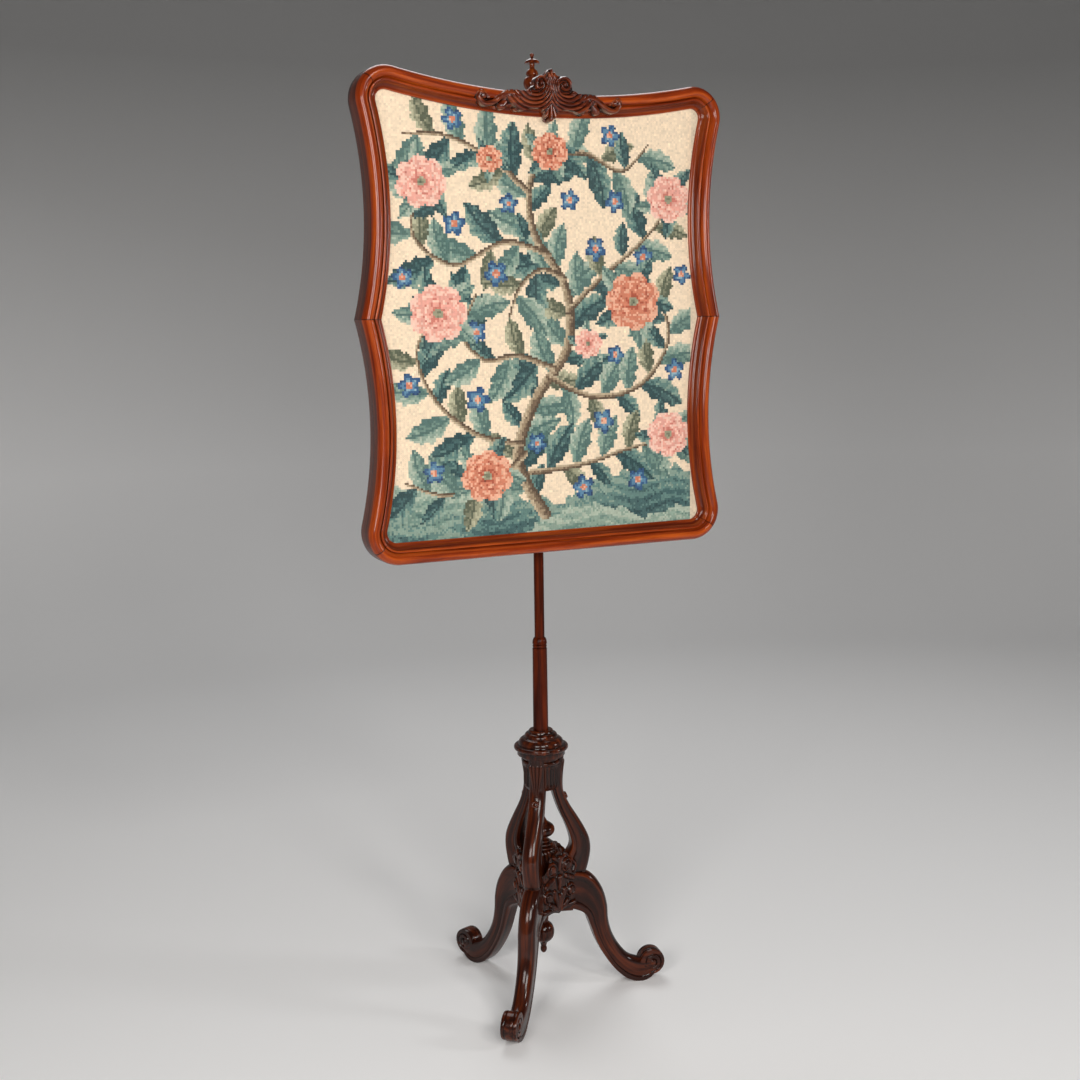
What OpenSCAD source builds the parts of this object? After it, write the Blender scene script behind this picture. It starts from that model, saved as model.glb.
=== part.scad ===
// Pole screen: a serpentine moulded panel that slides and turns on a pole, on a pierced tripod base.
// Sizes are in millimetres. The pole stands on Z, the floor is z = 0, and the panel faces -Y.

/* [Legs] */
// Distance from the pole to the centre of a toe's scroll
toe_reach = 186; // [165:1:205]
// Radius of a toe's scroll
toe_r = 22; // [20:0.5:24]
// Height of the centre of a toe's scroll
toe_z = 31; // [29:0.5:34]
// Width of a toe
toe_w = 25; // [21:0.5:28]
// Width of a leg at its knee
knee_w = 28; // [24:0.5:31]
// Height of the knees, where the cage stands on the legs
knee_z = 206; // [195:1:225]
// Depth of a leg where it meets the hub
knee_d = 68; // [58:1:74]
// Depth of a leg at its slimmest
ankle_d = 30.5; // [26:0.5:33]
// Depth of a leg where it meets the floor
foot_d = 39; // [35:0.5:42]
// Depth that the flat under a foot is cut into its curve
foot_flat = 1; // [0.6:0.1:1.5]
// Turn of the front leg away from straight ahead
leg_turn = 41.4; // [20:0.1:60]

/* [Hub] */
// Radius of the hub
hub_r = 31; // [29:0.5:33]
// Distance from the pole to the flats that the legs are dowelled to
hub_flat = 26; // [24:0.5:27]
// Height of the underside of the hub
hub_low = 140; // [132:1:146]
// Height of the mound on the hub
mound_h = 44; // [38:1:50]
// Radius of the turned drop under the hub
drop_r = 18; // [14:0.5:20]
// Length of the turned drop
drop_h = 73; // [60:1:80]
// Thickness of the ground of the carved leaf pieces between the legs
apron_t = 8; // [6:0.5:10]
// Length of a leaf piece under the knees
apron_low = 60; // [52:1:64]
// Height of a leaf piece over the knees
apron_high = 46; // [38:1:50]
// Radius of the scrolls on a leaf piece
apron_scroll_r = 11; // [9:0.5:12]

/* [Cage] */
// Height of the cage, from the knees to the collar
cage_h = 202; // [185:1:220]
// Distance from the pole to the middle of a strut where the cage is widest
bulge_r = 63.5; // [58:0.5:70]
// Distance from the pole to the middle of a strut in the neck
neck_strut_r = 24; // [23:0.5:26]
// Depth of a strut in the neck
strut_d = 20; // [18:0.5:22]
// Depth of a strut at its foot
strut_foot_d = 42; // [38:0.5:44]
// Width of a strut in the neck
strut_w = 25; // [22:0.5:26]
// Width of a strut at its foot
strut_foot_w = 27.5; // [26:0.5:28]
// Radius of the neck block
neck_r = 30; // [28:0.5:32]
// Height of the neck block
neck_h = 56; // [48:1:60]
// Height of the finial inside the cage
cage_finial_h = 53; // [45:1:60]
// Radius of the ball of the finial inside the cage
cage_finial_r = 20.5; // [16:0.5:22]

/* [Pole] */
// Radius of the collar's rim
collar_r = 44; // [40:0.5:48]
// Height of the collar
collar_h = 41; // [36:1:46]
// Radius of the lower pole at its foot
lower_pole_r = 12.2; // [11.5:0.1:13.5]
// Radius of the lower pole at its top
lower_pole_top_r = 11.6; // [10.8:0.1:12]
// Length of the lower pole that shows
lower_pole_len = 134; // [110:1:160]
// Height of the turned bead at the step of the pole
ferrule_h = 18; // [15:0.5:22]
// Radius of the upper pole
upper_pole_r = 7.9; // [7:0.1:8.6]
// Length of the upper pole that shows
upper_pole_len = 842; // [815:1:880]
// Depth that the upper pole is let into the lower pole
pole_socket = 60; // [40:1:80]
// Radius of the tenon under the lower pole
tenon_r = 8.5; // [7.5:0.1:9.5]
// Length of the tenon under the lower pole
tenon_len = 84; // [76:1:90]
// Height of the pole's finial
finial_h = 57; // [50:1:64]
// Radius of the ball of the pole's finial
finial_r = 13.5; // [11:0.5:15]
// Radius of the spigots under turned pieces
spigot_r = 4; // [3:0.1:4.5]
// Length of the spigots under turned pieces
spigot_len = 16; // [12:1:18]

/* [Panel outline] */
// Height of the pointed middles of the panel's sides
panel_mid_z = 1105; // [1098:1:1112]
// Gap from the pole's axis to the back of the frame
panel_gap = 20; // [19.5:0.1:24]
// Half of the panel's width at its narrowest
waist_half = 281; // [260:1:300]
// Radius of the hollow curves of the sides
side_r = 610; // [560:1:680]
// Height from the pointed middle to the narrowest place of a side
bay_h = 153; // [140:1:165]
// Height from the pointed middle to the dip of the top rail
top_rise = 327; // [315:1:335]
// Radius of the hollow curve of the top rail
top_r = 1200; // [1000:10:1500]
// Radius of the top corners
top_corner_r = 46; // [42:0.5:52]
// Height from the pointed middle down to the underside of the bottom rail
bottom_drop = 358.5; // [352:0.5:359.5]
// Radius of the bottom corners
bottom_corner_r = 48; // [42:0.5:54]

/* [Moulding] */
// Width of the moulding's face
face_w = 32; // [30:0.5:36]
// Depth of the moulding
frame_d = 44; // [40:0.5:48]
// Width of the outer roll
roll_w = 18; // [16:0.5:19]
// Height of the outer roll
roll_h = 13; // [10:0.5:15]
// Radius of the small bead beside the roll
bead_r = 2.1; // [1.5:0.1:2.5]
// Height of the bead's centre above the back
bead_d = 36; // [34:0.5:37]
// Depth of the sight edge above the back
sight_d = 26; // [24:0.5:28]
// Thickness of the lip at the sight edge
lip_t = 3.5; // [3:0.1:4.5]
// Width of the rebate behind the lip
rebate_w = 8; // [7:0.5:9]
// Width of the flat fillet at the sight edge
fillet_w = 2; // [1.5:0.1:3]

/* [Crest] */
// Distance from the middle of the crest to the centre of a volute
volute_x = 22.5; // [20:0.5:26]
// Height of a volute's centre over the dip of the top rail
volute_z = 13; // [8:0.5:14]
// Radius of a volute
volute_r = 12; // [10:0.5:14]
// Thickness of the carved ribs
rib_r = 3; // [2:0.1:3.5]
// Distance from the middle of the crest to the end of a tail
tail_x = 117; // [105:1:130]
// Distance that the crest stands out from the moulding
crest_out = 4; // [2:0.5:6]
// Length that the middle leaf hangs under the dip of the top rail
leaf_drop = 38; // [34:0.5:42]

/* [Panel filling] */
// Thickness of the needlepoint
cloth_t = 2; // [1.5:0.1:3]
// Thickness of the board under the needlepoint
board_t = 9; // [7:0.5:10]
// Thickness of the back board
back_t = 5; // [4:0.5:6]
// Radius of the heads of the back board's screws
back_head_r = 3.6; // [3:0.1:4.5]

/* [Brass] */
// Wall of the brass rings on the pole
ring_wall = 4; // [3:0.1:4.5]
// Height of the brass rings
ring_h = 11.5; // [9:0.5:11.5]
// Height of the stop collar
stop_h = 12.3; // [11.6:0.1:12.3]
// Height of the lower ring's underside over the underside of the bottom rail
lower_ring_z = 12; // [11.9:0.1:12.2]
// Height of the upper ring's underside over the pointed middle
upper_ring_z = 304; // [303.5:0.5:310]
// Length of a bracket's foot plate
plate_len = 44; // [38:1:50]
// Thickness of a bracket's foot plate
plate_t = 3; // [2.5:0.1:3.5]
// Distance between the screws of a foot plate
plate_screw_gap = 30; // [28:1:32]
// Radius of the thumb screw's shank
thumb_shank_r = 2; // [1.6:0.1:2.4]
// Radius of the thumb screw's head
thumb_head_r = 5.4; // [4.6:0.1:5.4]
// Thickness of the thumb screw's head
thumb_head_t = 5; // [4:0.1:5.2]

/* [Fixings] */
// Radius of the dowels of the base
dowel_r = 4; // [3:0.1:4.5]
// Length of the dowels of the base
dowel_len = 28; // [22:1:32]
// Radius of the dowels of the frame
frame_dowel_r = 3; // [2.5:0.1:3.5]
// Length of the dowels of the frame
frame_dowel_len = 24; // [18:1:28]
// Radius of the screws' shanks
screw_r = 1.5; // [1.2:0.1:1.8]
// Length of the screws' shanks
screw_len = 12; // [10:0.5:13]

/* [Clearances] */
// Gap round a dowel, spigot or screw in its hole
hole_gap = 0.1; // [0.05:0.05:0.2]
// Gap round the pole in a ring that runs on it
run_gap = 0.08; // [0.03:0.01:0.1]
// Gap between the stop collar and the ring that turns on it
turn_gap = 0.2; // [0.1:0.05:0.3]
// Gap round a glued piece that is let into another
seat_gap = 0.2; // [0.1:0.05:0.3]
// Gap round the boards in the rebate
rebate_gap = 0.6; // [0.4:0.1:1]

/* [Hidden] */
$fn = 96;
frame_wood = "#8a4a22";
base_wood = "#4f2a18";
pale_wood = "#c9a878";
cloth_colour = "#e3d3b2";
brass = "#b08a3e";
big = 2000;

// Heights of the stand, from the floor up
collar_z = knee_z + cage_h;
neck_z = collar_z - neck_h;
lower_pole_z = collar_z + collar_h;
ferrule_z = lower_pole_z + lower_pole_len;
upper_pole_z = ferrule_z + ferrule_h;
finial_z = upper_pole_z + upper_pole_len;

// Directions of the three legs, as turns about Z from +X
front_turn = -90 - leg_turn;
leg_turns = [front_turn, front_turn + 120, front_turn + 240];
apron_turns = [front_turn + 60, front_turn + 180, front_turn - 60];

// A leg's middle line and depth: share of the way out, share of the way up, weight of knee and of foot
leg_shape = [
    [0, 1, 1, 0], [0.19, 0.99, 1.03, 0], [0.31, 0.9, 0.71, 0], [0.39, 0.77, 0.32, 0],
    [0.43, 0.6, 0.07, 0], [0.48, 0.43, 0, 0], [0.56, 0.27, 0, 0], [0.67, 0.12, 0, 0.25],
    [0.79, 0.03, 0, 0.92], [0.9, 0, 0, 1], [1, 0.03, 0, 0.25]
];
// A strut's middle line and depth: share of the way out, share of the way up, weight of the foot
strut_shape = [
    [0.06, 1, 0.14], [0, 0.84, 0], [0.02, 0.72, -0.05], [0.15, 0.625, -0.05], [0.35, 0.53, 0.05],
    [0.62, 0.43, 0.18], [0.86, 0.33, 0.36], [1, 0.243, 0.55], [0.99, 0.168, 0.73],
    [0.86, 0.09, 0.95], [0.72, 0, 0.95]
];
knee_mid = knee_z - knee_d / 2 + foot_flat * 2;
foot_mid = foot_d / 2 - foot_flat;
full_width_share = 0.6;
span_steps = 2;

// Small turned boss on a strut's face, in the strut's own plane
rosette_r = 4.5;
rosette_out = 2;
rosette_share = 0.635;
rosette_tilt = 68;
rosette = [neck_strut_r + strut_d / 2 + rosette_r, knee_z + rosette_share * cage_h];

// Dowels of the base
leg_dowel_z = [knee_z - 0.7 * knee_d, knee_z - 0.27 * knee_d];
strut_dowel_at = 0.82 * bulge_r;

// Panel outline: centres of the arcs and the angles at which they meet
function far_corner(c1, r1, c2, r2) =
    let (d = norm(c2 - c1), a = (r1 * r1 - r2 * r2 + d * d) / (2 * d), h = sqrt(r1 * r1 - a * a))
    let (e = (c2 - c1) / d)
    c1 + a * e + h * [-e[1], e[0]];
top_c = [0, top_rise + top_r];
side_c = [waist_half + side_r, bay_h];
top_corner_c = far_corner(side_c, side_r + top_corner_r, top_c, top_r + top_corner_r);
bottom_corner_y = bottom_corner_r - bottom_drop;
bottom_reach = side_r + bottom_corner_r;
bottom_corner_c = [
    side_c[0] - sqrt(bottom_reach * bottom_reach - pow(bottom_corner_y + bay_h, 2)), bottom_corner_y
];
top_half = atan2(top_corner_c[0], top_c[1] - top_corner_c[1]);
upper_side_turn = atan2(top_corner_c[1] - bay_h, side_c[0] - top_corner_c[0]);
lower_side_turn = atan2(-bay_h - bottom_corner_c[1], side_c[0] - bottom_corner_c[0]);
top_mitre = (90 + top_half - upper_side_turn) / 2;
bottom_mitre = (lower_side_turn - 90) / 2;
corner_steps = 10;
mitre_steps = 5;
side_steps = 12;
top_steps = 16;

// Depths of the panel's layers, from the back of the frame forward
rebate_d = sight_d - lip_t;
cloth_d = rebate_d - cloth_t;
board_d = cloth_d - board_t;
back_d = board_d - back_t;
fill_inset = face_w - rebate_w + rebate_gap;
back_screw_margin = 12;
back_screw_inset = fill_inset + back_screw_margin;
back_screw_heights = [-0.81 * bottom_drop, -0.28 * bottom_drop, 0.31 * top_rise, 0.83 * top_rise];
back_screw_top = 0.32 * waist_half;
back_head_t = 1.8;

// Brass on the pole
ring_r = upper_pole_r + run_gap;
ring_out_r = ring_r + ring_wall;
panel_low_z = panel_mid_z - bottom_drop;
lower_ring_low = panel_low_z + lower_ring_z;
upper_ring_low = panel_mid_z + upper_ring_z;
stop_low = lower_ring_low - turn_gap - stop_h;
thumb_z = stop_low + stop_h / 2;
thumb_head_gap = 0.4;
thumb_tip_gap = 0.3;
knurls = 18;
knurl_r = 0.55;
arm_w = 10;
bracket_head_r = 3;
bracket_head_t = 1.6;

// Points of a round or oval arc
function arc(c, rx, ry, a0, a1, n) =
    [for (i = [0:n]) let (a = a0 + (a1 - a0) * i / n) c + [rx * cos(a), ry * sin(a)]];
// A rounded bead on a turned profile, from height z0 to z1
function bead(r, z0, z1, out) = arc([r, (z0 + z1) / 2], out, (z1 - z0) / 2, -90, 90, 8);
// A direction of length 1
function unit(v) = v / norm(v);

// A smooth curve through points of any kind
function smooth_step(p, q, r, s, t) =
    0.5 * (2 * q + (r - p) * t + (2 * p - 5 * q + 4 * r - s) * t * t + (3 * q - p - 3 * r + s) * t * t * t);
function smooth_curve(pts, n) =
    let (last = len(pts) - 1)
    concat(
        [for (i = [0:last - 1]) for (j = [0:n - 1])
            smooth_step(pts[max(i - 1, 0)], pts[i], pts[i + 1], pts[min(i + 2, last)], j / n)],
        [pts[last]]
    );

// A solid skinned over closed rings of points, with flat ends
module skin(rings) {
    n = len(rings[0]);
    last = len(rings) - 1;
    points = [for (ring = rings) for (p = ring) p];
    walls = [for (i = [0:last - 1]) for (j = [0:n - 1])
        let (a = i * n + j, b = i * n + (j + 1) % n)
        for (f = [[a, a + n, b], [b, a + n, b + n]]) f];
    start = [for (j = [0:n - 1]) j];
    end = concat([last * n], [for (j = [n - 1:-1:1]) last * n + j]);
    polyhedron(points, concat([start], walls, [end]));
}

// Section of a leg or strut: flat flanks, a crowned outer face and eased inner edges
crown_share = 0.34;
crown_steps = 6;
ease = 3;
function limb_section(w, d) =
    let (crown = crown_share * min(w, d))
    concat(
        [[-w / 2 + ease, -d / 2], [w / 2 - ease, -d / 2], [w / 2, ease - d / 2]],
        arc([0, d / 2 - crown], w / 2, crown, 0, 180, crown_steps),
        [[-w / 2, ease - d / 2]]
    );

// Rings along a path of [out, up, depth, width], square to the path, in the plane of +X and Z
function limb_rings(path, first_way, last_way) =
    let (last = len(path) - 1)
    [for (i = [0:last])
        let (before = path[max(i - 1, 0)], after = path[min(i + 1, last)])
        let (p = path[i], between = unit([after[0] - before[0], after[1] - before[1]]))
        let (way = i == 0 ? first_way : i == last ? last_way : between)
        [for (q = limb_section(p[3], p[2])) [p[0] - q[1] * way[1], q[0], p[1] + q[1] * way[0]]]];

leg_path = smooth_curve([for (s = leg_shape) [
    hub_flat + s[0] * (toe_reach - hub_flat),
    foot_mid + s[1] * (knee_mid - foot_mid),
    ankle_d + s[2] * (knee_d - ankle_d) + s[3] * (foot_d - ankle_d),
    toe_w + min(1, s[1] / full_width_share) * (knee_w - toe_w)
]], span_steps);

strut_path = smooth_curve([for (s = strut_shape) [
    neck_strut_r + s[0] * (bulge_r - neck_strut_r),
    knee_z + s[1] * cage_h,
    strut_d + s[2] * (strut_foot_d - strut_d),
    strut_foot_w + min(1, s[1] / full_width_share) * (strut_w - strut_foot_w)
]], span_steps);

// A groove that winds in to the eye of a scroll
module scroll_groove(r_out, r_in, turns, w, depth) {
    n = round(turns * 24);
    spiral = [for (i = [0:n]) [r_out + (r_in - r_out) * i / n, 360 * turns * i / n]];
    outer = [for (s = spiral) (s[0] + w / 2) * [cos(s[1]), sin(s[1])]];
    inner = [for (i = [n:-1:0]) (spiral[i][0] - w / 2) * [cos(spiral[i][1]), sin(spiral[i][1])]];
    linear_extrude(depth) polygon(concat(outer, inner));
}

// A bar across a leg's plane
module across(at, r, len) {
    translate([at[0], 0, at[1]])
        rotate([90, 0, 0])
            cylinder(r = r, h = len, center = true);
}

groove_w = 2.4;
groove_deep = 1.6;
groove_turns = 1.75;
groove_start = 150;
toe_rim = 4;
toe_eye_r = 6;
toe_way = [1, 0.28];

module toe_grooves() {
    for (side = [1, -1])
        translate([toe_reach, side * (toe_w / 2 - groove_deep), toe_z])
            rotate([side > 0 ? -90 : 90, 0, 0])
                mirror([0, side > 0 ? 1 : 0, 0])
                    rotate([0, 0, groove_start])
                        scroll_groove(toe_r - toe_rim, toe_eye_r, groove_turns, groove_w, 2 * groove_deep);
}

module leg() {
    color(base_wood)
        difference() {
            union() {
                skin(limb_rings(leg_path, [1, 0], unit(toe_way)));
                across([toe_reach, toe_z], toe_r, toe_w);
            }
            translate([0, -big / 2, -big])
                cube(big);
            translate([0, -big / 2, knee_z])
                cube(big);
            toe_grooves();
            leg_dowel_holes();
            translate([strut_dowel_at, 0, knee_z - dowel_len / 2])
                cylinder(r = dowel_r + hole_gap, h = dowel_len);
        }
}

// Holes for the dowels between one leg and the hub, along +X
module leg_dowel_holes() {
    for (z = leg_dowel_z)
        translate([hub_flat, 0, z])
            rotate([0, 90, 0])
                cylinder(r = dowel_r + hole_gap, h = dowel_len + 2 * hole_gap, center = true);
}

module leg_front() {
    rotate([0, 0, leg_turns[0]]) leg();
}

module leg_right() {
    rotate([0, 0, leg_turns[1]]) leg();
}

module leg_back() {
    rotate([0, 0, leg_turns[2]]) leg();
}

mound_top_r = 22;
mound_step = 2;
hub_foot_r = 24;
hub_foot_h = 9;
hub_foot_out = 4;
hub_slope = 5;

module base_hub() {
    profile = concat(
        [[0, hub_low], [hub_foot_r - hub_foot_out, hub_low]],
        bead(hub_foot_r - hub_foot_out, hub_low, hub_low + hub_foot_h, hub_foot_out),
        [[hub_r, hub_low + hub_foot_h + hub_slope], [hub_r, knee_z + mound_step]],
        arc([mound_top_r, knee_z + mound_step], hub_r - mound_top_r - 1, mound_h - mound_step, 0, 90, 10),
        [[0, knee_z + mound_h]]
    );
    color(base_wood)
        difference() {
            rotate_extrude() polygon(profile);
            for (turn = leg_turns)
                rotate([0, 0, turn]) {
                    translate([hub_flat, -hub_r, hub_low - 1])
                        cube([hub_r, 2 * hub_r, knee_z - hub_low + 1]);
                    leg_dowel_holes();
                }
            translate([0, 0, hub_low])
                spigot_hole(1);
            translate([0, 0, knee_z + mound_h])
                spigot_hole(-1);
        }
}

// A blind hole for a spigot, upward or downward from a face
module spigot_hole(way) {
    depth = spigot_len + hole_gap;
    translate([0, 0, way > 0 ? -1 : -depth])
        cylinder(r = spigot_r + hole_gap, h = depth + 1);
}

module pendant_drop() {
    ball_z = hub_low - 0.49 * drop_h;
    tip_z = hub_low - drop_h;
    profile = concat(
        [[0, hub_low + spigot_len], [spigot_r, hub_low + spigot_len], [spigot_r, hub_low]],
        [[0.8 * drop_r, hub_low], [0.8 * drop_r, hub_low - 0.06 * drop_h]],
        [[0.5 * drop_r, hub_low - 0.12 * drop_h], [0.45 * drop_r, hub_low - 0.24 * drop_h]],
        arc([0.4 * drop_r, ball_z], 0.6 * drop_r, 0.22 * drop_h, 75, -70, 10),
        [[0.34 * drop_r, hub_low - 0.76 * drop_h], [0.24 * drop_r, hub_low - 0.83 * drop_h]],
        arc([0, tip_z + 0.1 * drop_h], 0.3 * drop_r, 0.1 * drop_h, 35, -90, 6)
    );
    color(base_wood)
        rotate_extrude() polygon(profile);
}

// A carved piece with a flat back: columns of front points from low to high, and two back points for each
module carved(front, back) {
    n = len(front[0]);
    last = len(front) - 1;
    m = len(front) * n;
    face = [for (i = [0:last - 1]) for (j = [0:n - 2])
        let (a = i * n + j, b = a + n)
        for (f = [[a, a + 1, b + 1], [a, b + 1, b]]) f];
    rear = [for (i = [0:last - 1])
        let (a = m + 2 * i, b = a + 2)
        for (f = [[a, b + 1, a + 1], [a, b, b + 1]]) f];
    edges = [for (i = [0:last - 1])
        let (low = i * n, low2 = low + n, top = low + n - 1, top2 = top + n, a = m + 2 * i, b = a + 2)
        for (f = [[low, low2, b], [low, b, a], [top, b + 1, top2], [top, a + 1, b + 1]]) f];
    start = concat([m, m + 1], [for (j = [n - 1:-1:0]) j]);
    end = concat([m + 2 * last], [for (j = [0:n - 1]) last * n + j], [m + 2 * last + 1]);
    points = concat([for (column = front) for (p = column) p], [for (column = back) for (p = column) p]);
    polyhedron(points, concat(face, rear, edges, [start, end]));
}

// Height of a rounded ridge from one point to another, over the depth of its middle
function ridge(p, from, to, r0, r1) =
    let (way = to - from, t = max(0, min(1, ((p - from) * way) / (way * way))))
    let (r = r0 + t * (r1 - r0), off = norm(p - from - t * way))
    off < r ? sqrt(r * r - off * off) : -big;

// A carved leaf piece between two legs, on +X, that fills the corner between their flanks.
// Its face is drawn as [across, up from the knees], and depths are measured from its flat back.
apron_back = hub_r + seat_gap;
apron_gap = knee_w / 2 + seat_gap;
apron_columns = 20;
apron_rows = 20;
apron_scallop = 3.5;
apron_rise = 5;
apron_fall = 32;
apron_eye_r = 6.5;
apron_proud = 2.5;
lobe_sink = 1;
apron_scrolls = [[17, 19], [26, -26]];
function apron_edge(depth) = tan(60) * (apron_back + depth) - 2 * apron_gap;
function apron_lower(s) = apron_rise * s * s - apron_low + apron_scallop * abs(sin(270 * s));
function apron_upper(s) = apron_high - apron_fall * s * s - apron_scallop * abs(sin(360 * s));

// Lobes of leaf on one half: [from, to, first radius, last radius]
apron_lobes = [
    [[0, -50], [0, -16], 3, 5], [[1, -50], [11, -22], 3, 4.5], [[2, -51], [17, -38], 3, 4],
    [[0, 2], [0, 38], 3, 5], [[1, 2], [12, 34], 2.5, 4.5], [[0, -8], [9, 4], 3, 4],
    [[14, 2], [30, -6], 4, 3], [[24, 30], [33, 20], 3, 3.5]
];

// A round scroll with a domed eye
function apron_scroll(q) =
    let (rho = norm(q))
    rho > apron_scroll_r ? -big
        : rho > apron_eye_r ? apron_t + apron_proud
        : apron_t + apron_proud + sqrt(apron_eye_r * apron_eye_r - rho * rho) / 2;
function apron_relief(x, y) =
    let (p = [abs(x), y])
    max(concat(
        [apron_t],
        [for (c = apron_scrolls) apron_scroll(p - c)],
        [for (l = apron_lobes) apron_t - lobe_sink + ridge(p, l[0], l[1], l[2], l[3])]
    ));

module apron() {
    shares = [for (i = [0:apron_columns]) 2 * i / apron_columns - 1];
    front = [for (s = shares) [for (j = [0:apron_rows])
        let (x = s * apron_edge(apron_t), low = apron_lower(s))
        let (y = low + (apron_upper(s) - low) * j / apron_rows)
        [x, y, abs(s) < 1 ? apron_relief(x, y) : apron_t]]];
    back = [for (s = shares) [for (y = [apron_lower(s), apron_upper(s)]) [s * apron_edge(0), y, 0]]];
    color(base_wood)
        translate([apron_back, 0, knee_z])
            rotate([90, 0, 90])
                carved(front, back);
}

module leaf_apron_right() {
    rotate([0, 0, apron_turns[0]]) apron();
}

module leaf_apron_back() {
    rotate([0, 0, apron_turns[1]]) apron();
}

module leaf_apron_left() {
    rotate([0, 0, apron_turns[2]]) apron();
}

module strut() {
    color(base_wood)
        difference() {
            union() {
                skin(limb_rings(strut_path, [0, -1], [0, -1]));
                translate([rosette[0], 0, rosette[1]])
                    rotate([0, rosette_tilt, 0])
                        cylinder(r = rosette_r, h = 2 * rosette_out, center = true);
            }
            translate([strut_dowel_at, 0, knee_z - dowel_len / 2])
                cylinder(r = dowel_r + hole_gap, h = dowel_len + hole_gap);
        }
}

module cage_strut_front() {
    rotate([0, 0, leg_turns[0]]) strut();
}

module cage_strut_right() {
    rotate([0, 0, leg_turns[1]]) strut();
}

module cage_strut_back() {
    rotate([0, 0, leg_turns[2]]) strut();
}

module cage_finial() {
    r = cage_finial_r;
    h = cage_finial_h;
    z = knee_z + mound_h;
    profile = concat(
        [[0, z - spigot_len], [spigot_r, z - spigot_len], [spigot_r, z], [1.04 * r, z]],
        bead(0.98 * r, z, z + 0.08 * h, 0.1 * r),
        bead(0.76 * r, z + 0.08 * h, z + 0.17 * h, 0.1 * r),
        bead(0.52 * r, z + 0.17 * h, z + 0.25 * h, 0.09 * r),
        [[0.36 * r, z + 0.28 * h], [0.33 * r, z + 0.34 * h]],
        arc([0.4 * r, z + 0.57 * h], 0.6 * r, 0.21 * h, -80, 50, 10),
        [[0.4 * r, z + 0.84 * h], [0.18 * r, z + h], [0, z + h]]
    );
    color(base_wood)
        rotate_extrude() polygon(profile);
}

// Turned neck with a housing for the top of each strut and a bore for the pole's tenon
module cage_neck() {
    housing_r = neck_strut_r - strut_d / 2 - seat_gap;
    housing_w = strut_w + 2 * seat_gap;
    profile = concat(
        [[0, neck_z], [0.83 * neck_r, neck_z], [0.97 * neck_r, neck_z + 0.1 * neck_h]],
        bead(0.97 * neck_r, collar_z - 0.25 * neck_h, collar_z - 0.14 * neck_h, 0.08 * neck_r),
        [[neck_r, collar_z - 0.1 * neck_h], [1.06 * neck_r, collar_z], [0, collar_z]]
    );
    color(base_wood)
        difference() {
            rotate_extrude() polygon(profile);
            for (turn = leg_turns)
                rotate([0, 0, turn])
                    translate([housing_r, -housing_w / 2, neck_z - 1])
                        cube([big, housing_w, neck_h + 2]);
            translate([0, 0, lower_pole_z - tenon_len - hole_gap])
                cylinder(r = tenon_r + hole_gap, h = tenon_len);
        }
}

module pole_collar() {
    r = collar_r;
    z = collar_z;
    h = collar_h;
    profile = concat(
        [[tenon_r + hole_gap, z], [0.88 * r, z], [0.88 * r, z + 0.2 * h]],
        bead(0.94 * r, z + 0.22 * h, z + 0.4 * h, 0.06 * r),
        [[0.84 * r, z + 0.42 * h]],
        arc([0.62 * r, z + 0.45 * h], 0.21 * r, 0.24 * h, 0, 80, 6),
        [[0.62 * r, z + 0.7 * h]],
        arc([0.5 * r, z + 0.71 * h], 0.11 * r, 0.17 * h, 0, 85, 6),
        [[0.46 * r, z + 0.89 * h], [0.44 * r, z + h], [tenon_r + hole_gap, z + h]]
    );
    color(base_wood)
        rotate_extrude() polygon(profile);
}

module lower_pole() {
    color(base_wood)
        difference() {
            union() {
                translate([0, 0, lower_pole_z])
                    cylinder(r1 = lower_pole_r, r2 = lower_pole_top_r, h = lower_pole_len);
                translate([0, 0, lower_pole_z - tenon_len])
                    cylinder(r = tenon_r, h = tenon_len);
            }
            translate([0, 0, ferrule_z - pole_socket - hole_gap])
                cylinder(r = upper_pole_r + hole_gap, h = pole_socket + 1);
        }
}

module pole_ferrule() {
    r = lower_pole_top_r;
    z = ferrule_z;
    h = ferrule_h;
    profile = concat(
        [[upper_pole_r + hole_gap, z], [r - 0.6, z]],
        bead(r - 1.6, z + 0.08 * h, z + 0.34 * h, 1.4),
        arc([r - 4, z + 0.42 * h], 4, 0.58 * h, 0, 78, 8),
        [[upper_pole_r + hole_gap, z + h]]
    );
    color(base_wood)
        rotate_extrude() polygon(profile);
}

module upper_pole() {
    color(base_wood)
        difference() {
            translate([0, 0, ferrule_z - pole_socket])
                cylinder(r = upper_pole_r, h = finial_z - ferrule_z + pole_socket);
            translate([0, 0, finial_z])
                spigot_hole(-1);
        }
}

module pole_finial() {
    r = finial_r;
    z = finial_z;
    h = finial_h;
    ball_z = z + 0.22 * h;
    cap_z = z + 0.73 * h;
    profile = concat(
        [[0, z - spigot_len], [spigot_r, z - spigot_len], [spigot_r, z], [0.58 * r, z]],
        arc([0.35 * r, ball_z], 0.65 * r, 0.19 * h, -65, 70, 10),
        [[0.6 * r, z + 0.42 * h], [0.7 * r, z + 0.44 * h]],
        arc([0, z + 0.44 * h], 0.7 * r, 0.17 * h, 0, 62, 6),
        [[0.27 * r, z + 0.63 * h], [0.3 * r, z + 0.71 * h]],
        [[0.8 * r, cap_z - 0.01 * h], [0.87 * r, cap_z + 0.01 * h]],
        arc([0, cap_z + 0.01 * h], 0.84 * r, 0.11 * h, 8, 72, 6),
        [[0.16 * r, z + 0.87 * h]],
        arc([0, z + 0.94 * h], 0.23 * r, 0.06 * h, -50, 90, 6)
    );
    color(base_wood)
        rotate_extrude() polygon(profile);
}

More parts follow.
